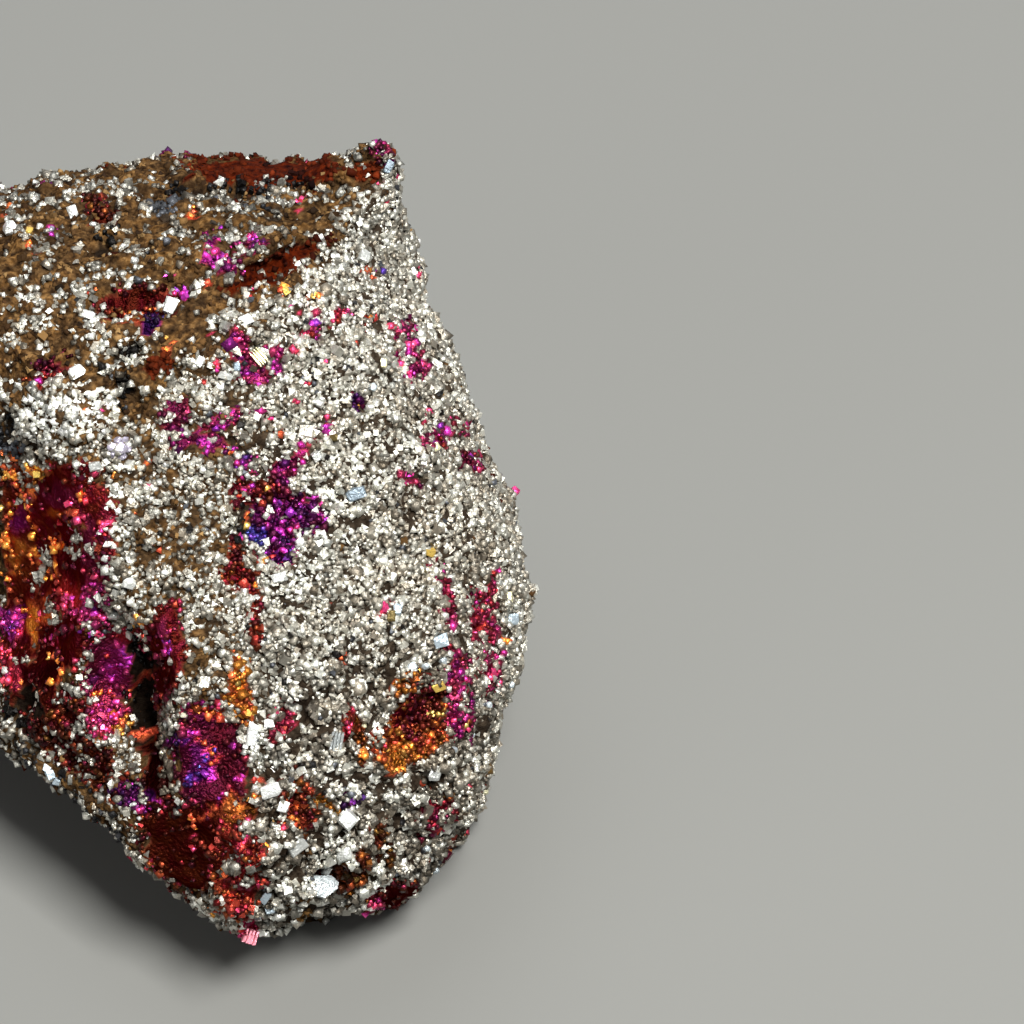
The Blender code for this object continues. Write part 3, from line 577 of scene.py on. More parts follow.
# Ovals where the surface is smooth, with few crystals on it
SMOOTH = {
    "upper hollow": (-7.7, 0.2, 4.4, 2.5, 82),
    "lower hollow": (-8.7, -5.6, 4.4, 2.2, 82),
    "pocket": (-4.8, -6.9, 2.1, 1.2, 80),
    "red wall": (-2.0, -6.3, 2.8, 1.1, 82),
    "cleft": (-2.9, -10.6, 4.4, 0.8, 96),
    "facet": (0.5, -12.3, 2.9, 1.8, 97),
    "under the facet": (0.4, -15.7, 1.6, 1.2, 10),
    "foot": (-1.2, -17.2, 2.5, 1.6, 125),
    "left side": (-10.3, -0.6, 4.4, 1.1, 92),
    "rust": (3.4, 20.6, 4.2, 0.8, 0),
    "slot": (4.3, 15.2, 2.8, 0.5, 27),
    "groove": (-3.6, 13.2, 2.0, 0.5, 12),
    "knob": (10.8, -19.8, 1.2, 0.7, 15),
}
SMOOTH_EDGE = (1.15, 0.85)
BEADED_FROM = 0.7  # patches of tarnish of at least this shade are beaded, also in a smooth area

# Crevices: an oval and a depth in mm
CREVICES = (
    (1.0, 19.4, 4.2, 0.35, 3, 0.7), (4.2, 15.3, 3.0, 0.55, 27, 0.9), (-3.6, 13.2, 2.3, 0.6, 12, 0.8),
    (-5.0, 16.7, 0.9, 0.35, 25, 0.8), (-4.1, 8.3, 1.3, 0.4, 85, 0.9), (-4.2, 10.2, 1.2, 0.3, 30, 0.6),
    (-10.7, 6.2, 0.8, 0.9, 0, 0.7), (-8.2, 9.6, 1.2, 0.5, 10, 0.5), (-7.5, 12.4, 0.6, 0.4, 60, 0.5),
    (4.6, 1.0, 2.0, 1.0, 70, 0.4), (12.2, -10.0, 1.6, 0.9, 50, 0.6), (5.4, -14.4, 0.7, 1.4, 15, 0.7),
    (7.2, -18.7, 1.2, 1.3, 0, 0.7), (9.6, -17.2, 1.5, 0.4, 120, 0.6), (7.2, -14.9, 0.9, 0.4, 150, 0.5),
    (3.1, -13.2, 2.6, 0.35, 88, 0.5), (-3.3, -8.3, 3.4, 0.5, 98, 0.8), (2.6, -2.5, 1.4, 0.5, 165, 0.4),
    (8.9, -10.8, 0.4, 1.2, 5, 0.5), (4.5, -10.0, 1.1, 0.4, 80, 0.4), (8.5, 7.5, 0.5, 0.5, 0, 0.4),
    (-9.9, -8.9, 0.7, 1.8, 0, 0.7), (5.2, -17.6, 1.3, 0.4, 60, 0.5), (13.0, -13.0, 1.6, 0.35, 150, 0.5),
    (-6.7, 4.9, 1.0, 0.3, 10, 0.4), (-2.0, -3.1, 1.2, 0.35, 20, 0.5), (-4.7, 3.4, 0.4, 0.8, 10, 0.5),
    (9.9, -4.0, 0.8, 0.3, 30, 0.3), (-1.3, 9.0, 1.2, 0.35, 100, 0.5), (0.4, 18.6, 1.4, 0.25, 10, 0.4),
)
CREVICE_EDGE = (1.2, 0.3)

# Rises: an oval and a height in mm. They go round the edge that the camera sees.
RISES = (
    (9.9, 21.2, 1.1, 0.8, 0, 0.7), (-3.0, 20.6, 3.0, 0.7, 8, 0.2),
)
RISE_EDGE = (1.3, 0.2)
RISE_FACING = (-0.8, -0.2)

# ------------------------------------------------------------------ single crystals

# For each colour, a tone on SINGLE_STOPS, and the crystals: the middle across and up the grid,
# the length and width in mm, and the turn in degrees
BLOCKS = {
    "white": (0.3, (
        (5.2, -16.6, 1.2, 0.9, 30), (8.1, -15.4, 1.0, 1.0, 40), (4.0, -13.7, 1.1, 0.8, 20),
        (4.4, -14.7, 0.7, 0.6, 0), (3.0, -10.7, 1.3, 0.6, 85), (3.7, -10.2, 0.6, 0.5, 0),
        (12.9, -12.6, 0.9, 0.7, 70), (4.3, -2.1, 0.8, 0.5, 10), (6.3, 4.6, 0.6, 0.6, 30),
        (-1.6, 12.7, 1.0, 0.7, 70), (-6.3, 12.3, 0.8, 0.5, 160), (-5.8, 4.1, 0.7, 0.5, 15),
        (-5.3, 4.3, 0.6, 0.4, 30), (-7.0, 17.9, 0.9, 0.6, 110), (6.6, 16.5, 0.5, 0.4, 30),
        (7.4, 15.6, 0.6, 0.3, 0), (6.3, 12.2, 0.7, 0.3, 130), (2.4, 12.0, 0.8, 0.6, 20),
        (3.5, 10.4, 0.7, 0.35, 160), (1.4, 9.1, 0.8, 0.4, 160), (1.1, 8.4, 0.5, 0.5, 0),
        (-0.1, 9.8, 0.6, 0.5, 60), (8.9, 15.5, 0.8, 0.6, 60), (-6.7, 9.1, 0.9, 0.7, 30),
        (7.0, -18.0, 0.7, 0.5, 60),
    )),
    "pale blue": (0.14, (
        (17.0, -4.4, 0.7, 0.7, 0), (13.0, -5.6, 0.9, 0.8, 20), (3.6, -19.5, 0.8, 0.5, 60),
        (3.8, -20.2, 0.6, 0.5, 20), (-8.5, -12.6, 0.5, 0.4, 150), (-8.2, -12.9, 0.6, 0.5, 120),
        (-8.5, -13.1, 0.5, 0.4, 30), (-7.8, -13.2, 0.5, 0.4, 60), (10.8, -3.8, 0.6, 0.5, 80),
    )),
    "slate blue": (0.03, (
        (8.5, 2.6, 1.2, 0.7, 15), (10.3, 20.6, 0.8, 0.5, 60), (2.0, 9.5, 0.4, 0.5, 0),
    )),
    "pale yellow": (0.45, (
        (16.9, -3.2, 0.9, 0.6, 90), (12.8, 5.0, 0.6, 0.5, 30), (10.0, 9.7, 0.5, 0.4, 90),
    )),
    "gold": (0.58, (
        (12.4, -0.6, 1.1, 0.5, 155), (13.1, -7.9, 0.8, 0.5, 10), (-9.4, 16.9, 0.5, 0.4, 80),
        (4.7, 13.7, 0.5, 0.4, 120), (6.2, 13.5, 0.5, 0.3, 60), (-8.9, 3.7, 0.5, 0.4, 0),
    )),
    "olive": (0.72, ((10.5, -4.1, 0.7, 0.5, 85), (12.2, -1.6, 0.6, 0.4, 120), (7.4, 5.6, 0.5, 0.4, 0))),
}
BEADS = {
    "white": (0.3, (
        (7.9, -17.0, 1.3, 1.1, 70), (8.0, -19.2, 0.6, 0.6, 0), (-10.3, 16.9, 1.2, 1.0, 100),
        (-8.8, 17.1, 0.6, 0.5, 0), (-9.0, 19.6, 0.5, 0.4, 0), (-5.9, 17.3, 0.5, 0.4, 0),
        (-4.7, -3.9, 0.9, 0.8, 0), (-3.9, -2.3, 0.9, 0.9, 0), (-2.0, -1.8, 0.5, 0.5, 0),
        (-5.1, -1.0, 0.6, 0.5, 0), (-3.6, -14.5, 0.6, 0.4, 20), (-3.3, -15.3, 0.4, 0.3, 0),
        (-3.4, -12.7, 0.4, 0.4, 0), (-4.2, 16.0, 0.7, 0.6, 0), (-3.7, 15.4, 0.6, 0.5, 0),
        (-1.9, 4.2, 0.5, 0.4, 0), (-5.9, -5.0, 0.5, 0.4, 60), (3.1, -3.3, 0.5, 0.5, 0),
    )),
    "grey white": (0.2, (
        (13.4, -6.7, 0.7, 0.6, 0), (15.8, -9.1, 0.5, 0.5, 0), (17.0, -7.9, 0.5, 0.5, 0),
        (14.9, -10.8, 0.5, 0.5, 0), (11.6, -7.0, 0.8, 0.7, 0), (12.3, -6.9, 0.6, 0.5, 0),
        (13.9, -11.6, 0.5, 0.5, 0), (15.6, -15.9, 0.6, 0.5, 0), (12.4, -16.9, 0.5, 0.5, 0),
        (12.9, -18.1, 0.5, 0.6, 0), (14.6, -17.0, 0.5, 0.5, 0), (9.4, 8.4, 0.6, 0.6, 0),
    )),
    "pale yellow": (0.43, (
        (15.5, -13.8, 0.7, 0.6, 0), (9.0, -10.2, 0.5, 0.4, 0), (11.2, 9.4, 0.5, 0.4, 0),
    )),
    "lilac": (0.84, (
        (-4.5, 5.1, 1.0, 0.8, 0), (-4.9, 5.2, 0.7, 0.6, 30), (-4.0, 5.1, 0.7, 0.5, 60),
        (-4.6, 5.5, 0.6, 0.5, 0), (-4.3, 4.7, 0.7, 0.5, 20), (-4.8, 4.8, 0.6, 0.5, 80),
        (-4.2, 5.5, 0.6, 0.4, 40), (-8.2, 17.0, 0.5, 0.4, 60),
    )),
    "green white": (0.38, (
        (-1.0, -9.6, 0.4, 0.4, 0), (-2.0, -11.7, 0.4, 0.3, 0), (-1.2, -14.9, 0.4, 0.3, 0),
    )),
}
STRIPED = {
    "white": (0.26, ((7.5, -11.0, 1.1, 0.8, 80),)),
    "pale yellow": (0.45, ((3.2, 10.0, 0.9, 0.7, 130),)),
    "pink": (1.0, ((2.6, -21.6, 0.9, 0.9, 70),)),
}
BLADE = (6.3, -19.1, 2.5, 1.5, 0)  # the big pale one
BLADE_TONE = 0.22
BLADE_OUTLINE = (
    (-0.5, 0.1), (-0.3, 0.42), (0.3, 0.46), (0.5, 0.2), (0.46, -0.1), (0.12, -0.5), (-0.3, -0.3),
)
BLADE_SLOPE = 0.35  # how much thinner the blade gets towards its ends
SINGLE_SIZE = 0.85  # a single crystal's size, against the length and width in its row
SINGLE_THICKNESS = 0.8  # its thickness, against the smaller of them
SINGLE_STANDS_OUT = 0.35  # how far its middle is off the skin, as a share of its thickness
SINGLE_FACES_CAMERA = 2.0  # how much more it faces the camera than out of the skin
SINGLE_TILT = 0.5  # how far it tilts at random
SINGLE_SHADES = (0.6, 1.05)
BLOCK_CUT = 0.12  # how much of a block's edges is cut off
BLOCK_WEAR = 0.07  # how far its corners stray
BEAD_CORNERS = 22
STRIPES = 4  # the plates of a striped crystal
PLATE_WIDTH = 0.9  # a plate's width, as a share of its space
PLATE_STEP = 0.2  # how much lower every second plate is


def sight(points):
    """Where points are seen from the camera: mm across and up the grid."""
    local = (points - np.array(FACE_ORIGIN)) @ np.array((ACROSS, UP, OUT)).T
    nearer = VIEW_DISTANCE / (VIEW_DISTANCE - local[:, 2])
    return np.array(AIM) + (local[:, :2] / MM - np.array(AIM)) * nearer[:, None]


def noise_at(points, spacing, seed):
    """Smooth noise from -1 to 1 at each point."""
    offset = Vector((seed * 7.3, seed * 3.1, seed * 5.7))
    return np.array([noise.noise(Vector(point) / spacing + offset) for point in points])


def double_noise(points, spacings, fine_share, seed):
    """Smooth noise with some finer noise on it."""
    wide, fine = spacings
    return noise_at(points, wide, seed) + fine_share * noise_at(points, fine, seed + 1)


def cell_value(point):
    """A random value from 0 to 1 that is the same all over a unit cell."""
    return 0.5 + 0.5 * noise.cell(point)


def cells(points, size):
    """For each point, how near it is to its cell's edge, a value that the cell shares, and its dome."""
    found = np.empty((3, len(points)))
    for index, point in enumerate(points):
        distances, middles = noise.voronoi(Vector(point) / size)
        found[0, index] = distances[1] - distances[0]
        found[1, index] = cell_value(middles[0] * CELL_KEY)
        found[2, index] = 1.0 - 2.0 * distances[0] ** 2
    found[0] = smoothstep(CELL_GAP, 0.0, found[0])
    return found


def in_oval(seen, oval):
    """0 at an oval's middle, 1 at its edge, and more outside."""
    middle_x, middle_y, half_long, half_wide, turn = oval
    turn = math.radians(turn)
    dx = seen[:, 0] - middle_x
    dy = seen[:, 1] - middle_y
    along = (dx * math.cos(turn) + dy * math.sin(turn)) / half_long
    aside = (dy * math.cos(turn) - dx * math.sin(turn)) / half_wide
    return np.hypot(along, aside)


def smoothstep(start, complete, value):
    """0 up to the start, 1 from where it is complete, and a smooth change between."""
    share = np.clip((value - start) / (complete - start), 0.0, 1.0)
    return share * share * (3.0 - 2.0 * share)


# ------------------------------------------------------------------ camera, floor, lights


def face_turn():
    """The turn from the world's axes to the grid's."""
    return Matrix((ACROSS, UP, OUT)).transposed().to_4x4()


def grid_place(across, up):
    """A place on the grid, given in mm, in the world."""
    return FACE_ORIGIN + ACROSS * across * MM + UP * up * MM


def camera_place():
    return grid_place(*AIM) + OUT * VIEW_DISTANCE


def add_camera():
    data = bpy.data.cameras.new("camera")
    data.lens = LENS
    data.sensor_width = SENSOR
    data.clip_start = CLIP_START
    camera = bpy.data.objects.new("camera", data)
    camera.matrix_world = Matrix.Translation(camera_place()) @ face_turn()
    bpy.context.scene.collection.objects.link(camera)
    bpy.context.scene.camera = camera


def add_floor():
    mesh = bpy.data.meshes.new("floor")
    shape = bmesh.new()
    bmesh.ops.create_grid(shape, x_segments=1, y_segments=1, size=FLOOR_HALF)
    shape.to_mesh(mesh)
    shape.free()
    floor = bpy.data.objects.new("floor", mesh)
    bpy.context.scene.collection.objects.link(floor)
    material, _, shader = new_material("floor")
    shader.inputs["Base Color"].default_value = (*FLOOR_COLOUR, 1.0)
    shader.inputs["Roughness"].default_value = FLOOR_ROUGHNESS
    mesh.materials.append(material)
    floor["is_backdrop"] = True


def add_softbox(name, towards, distance, size, power, colour):
    data = bpy.data.lights.new(name, "AREA")
    data.size = size
    data.energy = power
    data.color = colour
    softbox = bpy.data.objects.new(name, data)
    facing = (face_turn().to_3x3() @ Vector(towards)).normalized()
    softbox.location = FACE_ORIGIN + facing * distance
    softbox.rotation_euler = facing.to_track_quat("Z", "Y").to_euler()
    softbox.visible_camera = False
    bpy.context.scene.collection.objects.link(softbox)


def add_lights():
    for name, values in SOFTBOXES.items():
        add_softbox(name, *values)
    world = bpy.data.worlds.new("studio")
    world.use_nodes = True
    background = world.node_tree.nodes["Background"]
    background.inputs["Color"].default_value = (*WORLD_COLOUR, 1.0)
    background.inputs["Strength"].default_value = WORLD_STRENGTH
    bpy.context.scene.world = world
    bpy.context.scene.view_settings.view_transform = "Standard"


# ------------------------------------------------------------------ materials


def new_material(name):
    material = bpy.data.materials.new(name)
    material.use_nodes = True
    tree = material.node_tree
    return material, tree, tree.nodes["Principled BSDF"]


def add_node(tree, kind, **settings):
    node = tree.nodes.new(kind)
    for name, value in settings.items():
        setattr(node, name, value)
    return node


def read_value(tree, name):
    """A value that the mesh carries."""
    return add_node(tree, "ShaderNodeAttribute", attribute_name=name).outputs["Fac"]


def colour_ramp(tree, value, stops):
    """A colour for each value from 0 to 1, from (place, colour) stops."""
    ramp = add_node(tree, "ShaderNodeValToRGB")
    elements = ramp.color_ramp.elements
    while len(elements) < len(stops):
        elements.new(0.5)  # each is moved to its own place below
    for element, (place, colour) in zip(elements, stops):
        element.position = place
        element.color = (*colour, 1.0)
    tree.links.new(value, ramp.inputs["Fac"])
    return ramp.outputs["Color"]


def noise_value(tree, spacing, detail, low, high):
    """Noise in the object's own space, spread over low to high."""
    place = add_node(tree, "ShaderNodeTexCoord")
    texture = add_node(tree, "ShaderNodeTexNoise")
    texture.inputs["Scale"].default_value = 1.0 / spacing
    texture.inputs["Detail"].default_value = detail
    tree.links.new(place.outputs["Object"], texture.inputs["Vector"])
    return spread_value(tree, texture.outputs["Fac"], NOISE_SPAN, (low, high))


def spread_value(tree, value, span, target):
    """A value from one span, spread over another."""
    node = add_node(tree, "ShaderNodeMapRange")
    for name, number in zip(("From Min", "From Max", "To Min", "To Max"), (*span, *target)):
        node.inputs[name].default_value = number
    tree.links.new(value, node.inputs["Value"])
    return node.outputs["Result"]


def multiply(tree, first, second):
    node = add_node(tree, "ShaderNodeMath", operation="MULTIPLY")
    tree.links.new(first, node.inputs[0])
    tree.links.new(second, node.inputs[1])
    return node.outputs["Value"]


def scale_colour(tree, colour, amount):
    node = add_node(tree, "ShaderNodeVectorMath", operation="SCALE")
    tree.links.new(colour, node.inputs[0])
    tree.links.new(amount, node.inputs["Scale"])
    return node.outputs["Vector"]


def mix_colour(tree, share, first, second):
    node = add_node(tree, "ShaderNodeMix", data_type="RGBA")
    tree.links.new(share, node.inputs["Factor"])
    tree.links.new(first, node.inputs["A"])
    tree.links.new(second, node.inputs["B"])
    return node.outputs["Result"]


def add_bump(tree, shader, spacing, strength):
    height = noise_value(tree, spacing, BUMP_DETAIL, 0.0, 1.0)
    bump = add_node(tree, "ShaderNodeBump")
    bump.inputs["Strength"].default_value = strength
    bump.inputs["Distance"].default_value = spacing * BUMP_DEPTH
    tree.links.new(height, bump.inputs["Height"])
    tree.links.new(bump.outputs["Normal"], shader.inputs["Normal"])


def grain_material(name, stops, metallic, roughness, cloud, bump, specular):
    """A material whose colour follows each crystal's tone and shade, with soft clouds over the lump."""
    material, tree, shader = new_material(name)
    colour = colour_ramp(tree, read_value(tree, "tone"), stops)
    clouds = noise_value(tree, CLOUD_SPACING, SOFT_DETAIL, 1.0 - cloud, 1.0 + cloud)
    brightness = multiply(tree, read_value(tree, "shade"), clouds)
    tree.links.new(scale_colour(tree, colour, brightness), shader.inputs["Base Color"])
    gloss = noise_value(tree, ROUGHNESS_SPACING, SOFT_DETAIL, *roughness)
    tree.links.new(gloss, shader.inputs["Roughness"])
    shader.inputs["Metallic"].default_value = metallic
    shader.inputs["Specular IOR Level"].default_value = specular
    add_bump(tree, shader, GRAIN_BUMP_SPACING, bump)
    return material


def skin_material():
    """Dark ground between the crystals, partly the ore's own and partly painted shade, tan where it is
    matrix and filmed where it is tarnished.
    """
    material, tree, shader = new_material("ore_skin")
    shade = read_value(tree, "shade")
    covered = read_value(tree, "film")
    film = scale_colour(tree, colour_ramp(tree, read_value(tree, "tone"), TARNISH_STOPS), shade)
    grit = noise_value(tree, GRIT_SPACING, GRIT_DETAIL, 0.0, 1.0)
    # the dark ground is darker still where the shade is low: painted shade in the gaps and crevices
    ground = scale_colour(tree, colour_ramp(tree, grit, GAP_STOPS), shade)
    for name, stops in (("tan", TAN_GROUND_STOPS), ("rust", RUST_GROUND_STOPS)):
        ground = mix_colour(tree, read_value(tree, name), ground, colour_ramp(tree, grit, stops))
    ground = mix_colour(tree, covered, ground, film)
    tree.links.new(ground, shader.inputs["Base Color"])
    tree.links.new(covered, shader.inputs["Metallic"])
    tree.links.new(spread_value(tree, covered, (0.0, 1.0), FILM_ROUGHNESS), shader.inputs["Roughness"])
    shader.inputs["Specular IOR Level"].default_value = GROUND_SPECULAR
    shader.inputs["Specular Tint"].default_value = FILM_RIM
    add_bump(tree, shader, GROUND_BUMP_SPACING, GROUND_BUMP)
    return material


# ------------------------------------------------------------------ what is where


class Ground:
    """What the surface is at each of many points: its kind, tone, shade and smoothness.

    With a variety of 1 the points differ at random, as crystals do. With a variety of 0
    each takes the middle of what it could be, as the skin under them does.
    """

    def __init__(self, points, normals, rng, variety):
        self.points = points
        self.rng = rng
        self.variety = variety
        self.count = len(points)
        self.draws = 0
        self.seen = sight(points)
        self.facing = normals @ np.array(OUT)
        self.find_cells()
        self.stray()
        self.find_areas()
        self.lay_matrix()
        self.lay_unseen_patches()
        self.lay_patches()
        self.run_films()
        self.lay_spots()

    def find_cells(self):
        """The clump and the nugget that each point is in, and how coarse it is there."""
        from_corner = np.hypot(*(self.seen - np.array(COARSE_MIDDLE)).T)
        self.coarse = smoothstep(*COARSE_FADE, from_corner / COARSE_REACH)
        clump_gap, self.clump, self.clump_dome = cells(self.points, CLUMP_SIZE)
        fine = cells(self.points, NUGGET_SIZE)
        coarse = cells(self.points, COARSE_NUGGET_SIZE)
        nugget_gap, self.nugget, self.nugget_dome = np.where(self.coarse > 0.5, coarse, fine)
        self.gap = np.maximum(clump_gap, nugget_gap)

    def stray(self):
        """Move the places that the areas are read at a little, so that their edges are ragged."""
        amount, spacing = PATCH_STRAY
        for axis in range(2):
            self.seen[:, axis] += amount * noise_at(self.points, spacing, axis + 1)

    def draw(self):
        """A new random draw from 0 to 1 for each point, which most of a nugget's points share."""
        if not self.variety:
            return np.full(self.count, 0.5)
        self.draws += 1
        first, step = DRAW_KEYS
        shared = (self.nugget * (first + step * self.draws)) % 1.0
        own = self.rng.random(self.count)
        return np.where(self.rng.random(self.count) < NUGGET_UNITY, shared, own)

    def wobble(self, spread, number):
        """Random values round 0 that spread out this far, for a number of points."""
        return self.rng.normal(0.0, spread, number) * self.variety

    def find_areas(self):
        """How far each point is in the layered top, its far end, the back and the other areas."""
        ridge = np.array(RIDGE)
        above = self.seen[:, 1] - np.interp(self.seen[:, 0], ridge[:, 0], ridge[:, 1])
        self.top = smoothstep(-RIDGE_WIDTH, RIDGE_WIDTH, above)
        self.far = smoothstep(*FAR_FADE, self.seen[:, 1]) * self.top
        self.behind = smoothstep(*BEHIND_FACING, self.facing)
        self.left = smoothstep(*LEFT_FADE, self.seen[:, 0]) * (1.0 - self.behind)
        self.mud = self.in_any(MUD, MUD_EDGE) * (self.facing > SEEN_FACING[0])
        areas = (self.top, self.behind, LEFT_MATRIX * self.left, self.mud)
        self.matrix = np.clip(np.maximum.reduce(areas), 0.0, 1.0)
        self.smooth = self.in_any(SMOOTH.values(), SMOOTH_EDGE) * (self.facing > 0.0)

    def in_any(self, ovals, edge):
        """How far each point is in one of the ovals."""
        inside = np.zeros(self.count)
        for oval in ovals:
            inside = np.maximum(inside, smoothstep(*edge, in_oval(self.seen, oval)))
        return inside

    def layer_values(self):
        """For each point, its layer's number and how far up the layer it is."""
        wander, wander_length = LAYER_WANDER
        local = (self.points - np.array(FACE_ORIGIN)) @ np.array((ACROSS, UP, OUT)).T
        across = local @ np.array(LAYER_NORMAL) / LAYER_GAP
        across += wander * noise_at(local, wander_length, 0)
        layer = np.floor(across)
        return layer, across - layer

    def tan_share(self, layer, drift):
        """The share of tan crystals at each point."""
        fine = noise_at(self.points, FINE_SPACING, 5)
        share = TAN_SHARE + LEFT_TAN * self.left + TOP_TAN * self.top + FAR_TAN * self.far
        share += (TAN_SWING + TOP_SWING * self.top + LEFT_SWING * self.left) * fine
        least, by_layer, by_drift, by_fine = BACK_TAN
        layer_value = np.array([cell_value(Vector((number, 3.0, 7.0))) for number in layer])
        on_back = least + by_layer * layer_value + by_drift * drift + by_fine * fine
        return np.maximum.reduce((share, self.behind * on_back, MUD_TAN * self.mud))

    def lay_matrix(self):
        """Tan matrix on the layered top, the back and the left end, and silver on the rest."""
        layer, part_way = self.layer_values()
        drift = noise_at(self.points, DRIFT_SPACING, 4)
        tan = self.draw() < self.tan_share(layer, drift)
        self.kind = np.where(tan, TAN, SILVER)
        silver_darkening = LEFT_DULLNESS * self.left * (1.0 - self.top) + FAR_DULLNESS * self.far
        # painted shade: the silver on the right side is darker in tone
        silver_darkening += RIGHT_PAINTED_SHADE * smoothstep(*RIGHT_FADE, self.seen[:, 0])
        tan_tone = TAN_TONE + TAN_DRIFT * drift - SEAM_DARKNESS * (part_way > LAYER_SEAM)
        tone = np.where(tan, tan_tone, SILVER_TONE - silver_darkening)
        tone += NUGGET_TONES * (self.draw() - 0.5) + self.wobble(TONE_SPREAD, self.count)
        # painted shade: tones and shades are darker in the gaps between nuggets and clumps
        darker = (GAP_PAINTED_SHADE_TONE + COARSE_GAP_PAINTED_SHADE_TONE * self.coarse) * self.gap
        self.tone = np.clip(tone * (1.0 - darker), 0.0, 1.0)
        shade = BASE_SHADE + CLUMP_SHADE * self.clump - FAR_SHADE * self.far
        shade += self.wobble(SHADE_SPREAD, self.count)
        darker = (GAP_PAINTED_SHADE + ROUGH_GAP_PAINTED_SHADE * np.maximum(self.coarse, self.matrix)) * self.gap
        self.shade = np.clip(shade * (1.0 - darker), *SHADE_LIMITS)
        dark = (self.rng.random(self.count) < DARK_SHARE) & ~tan
        self.kind[dark] = DARK
        self.tone[dark] = self.rng.random(dark.sum()) ** 2

    def lay_unseen_patches(self):
        """Tarnished and rusty patches on the sides that the camera doesn't see."""
        past_the_edge = smoothstep(*UNSEEN_FADE, self.seen[:, 0])
        unseen = np.maximum(smoothstep(*UNSEEN_FACING, self.facing), past_the_edge)
        spread = double_noise(self.points, UNSEEN_SPACING, UNSEEN_FINE, 11)
        hue = double_noise(self.points, UNSEEN_HUE_SPACING, UNSEEN_HUE_FINE, 13)
        hit = self.draw() < UNSEEN_TARNISH * unseen * smoothstep(*UNSEEN_TARNISH_EDGE, spread)
        tones = np.clip(UNSEEN_TONE + UNSEEN_TONE_SWING * hue[hit], *UNSEEN_TONE_LIMITS)
        self.stain(hit, TARNISH, tones, UNSEEN_SHADE)
        rusty = self.draw() < UNSEEN_RUST * unseen * smoothstep(*UNSEEN_RUST_EDGE, spread)
        self.stain(rusty & (self.matrix > RUST_NEEDS_MATRIX), RUST, UNSEEN_RUST_TONE, UNSEEN_RUST_SHADE)

    def lay_patches(self):
        """The patches on the sides that the camera sees."""
        seen = smoothstep(*SEEN_FACING, self.facing)
        steep = smoothstep(*STEEP_FACING, self.facing)
        for *oval, kind, tone, shade, share in PATCHES.values():
            inside = smoothstep(*PATCH_EDGE, in_oval(self.seen, oval))
            hit = self.draw() < share * inside * (steep if kind == DARK else seen)
            self.stain(hit, kind, tone, shade)
            if kind == TARNISH and shade >= BEADED_FROM:
                self.smooth[hit] = 0.0

    def run_films(self):
        """Blend the films' colours into the tarnish."""
        seen = smoothstep(*SEEN_FACING, self.facing)
        for *oval, tone, shade in FILMS.values():
            share = smoothstep(*FILM_FADE, in_oval(self.seen, oval)) * seen * (self.kind == TARNISH)
            self.tone += (tone - self.tone) * share
            self.shade += (shade - self.shade) * share

    def lay_spots(self):
        """Small bright spots, each as bright as the next of its colour."""
        for kind, tone, shade, places in SPOTS.values():
            for across, up in places:
                reach = in_oval(self.seen, (across, up, SPOT_SIZE, SPOT_SIZE, 0.0))
                hit = (reach < 1.0) & (self.facing > SEEN_FACING[0])
                self.stain(hit, kind, tone, shade)
                self.shade[hit] = shade
                self.smooth[hit] = 0.0

    def stain(self, hit, kind, tone, shade):
        """Turn the points that are hit into a kind, round a tone and a shade."""
        found = hit.sum()
        self.kind[hit] = kind
        drift = STAIN_DRIFT * (self.nugget[hit] - 0.5)
        self.tone[hit] = np.clip(tone + drift + self.wobble(STAIN_TONE_SPREAD, found), 0.0, 1.0)
        if kind == TARNISH:
            # painted glints: a share of the tarnished crystals are much brighter in colour
            painted_glints = self.rng.random(found) < PAINTED_GLINT_SHARE * self.variety
            shade = shade * np.where(painted_glints, PAINTED_GLINT, DULL)
        self.shade[hit] = shade * np.exp(self.wobble(STAIN_SHADE_SPREAD, found))


# ------------------------------------------------------------------ skin


def welded(mesh):
    """A copy of a mesh whose faces share their corners."""
    shape = bmesh.new()
    shape.from_mesh(mesh)
    bmesh.ops.remove_doubles(shape, verts=shape.verts, dist=WELD)
    copy = bpy.data.meshes.new("lump_form")
    shape.to_mesh(copy)
    shape.free()
    return copy


def read_points(mesh, name="co"):
    """The corners of a mesh, or the normals there."""
    values = np.empty(len(mesh.vertices) * 3)
    mesh.vertices.foreach_get(name, values)
    return values.reshape(-1, 3)


def fine_skin(form):
    """The lump's form as an even fine grid, with the solid's small flats smoothed over."""
    thing = bpy.data.objects.new("lump_form", form)
    bpy.context.scene.collection.objects.link(thing)
    remesh = thing.modifiers.new("grid", "REMESH")
    remesh.mode = "VOXEL"
    remesh.voxel_size = SKIN_GRID
    smooth = thing.modifiers.new("smooth", "SMOOTH")
    smooth.iterations = SKIN_SMOOTHING
    smooth.factor = SKIN_SOFTNESS
    graph = bpy.context.evaluated_depsgraph_get()
    skin = bpy.data.meshes.new_from_object(thing.evaluated_get(graph))
    bpy.data.objects.remove(thing, do_unlink=True)
    return skin


def pit_depth(points):
    """Deep pits here and there."""
    value = noise_at(points, PIT_SPACING, 9)
    return PIT_DEPTH * np.clip(value - PIT_FROM, 0.0, 1.0)


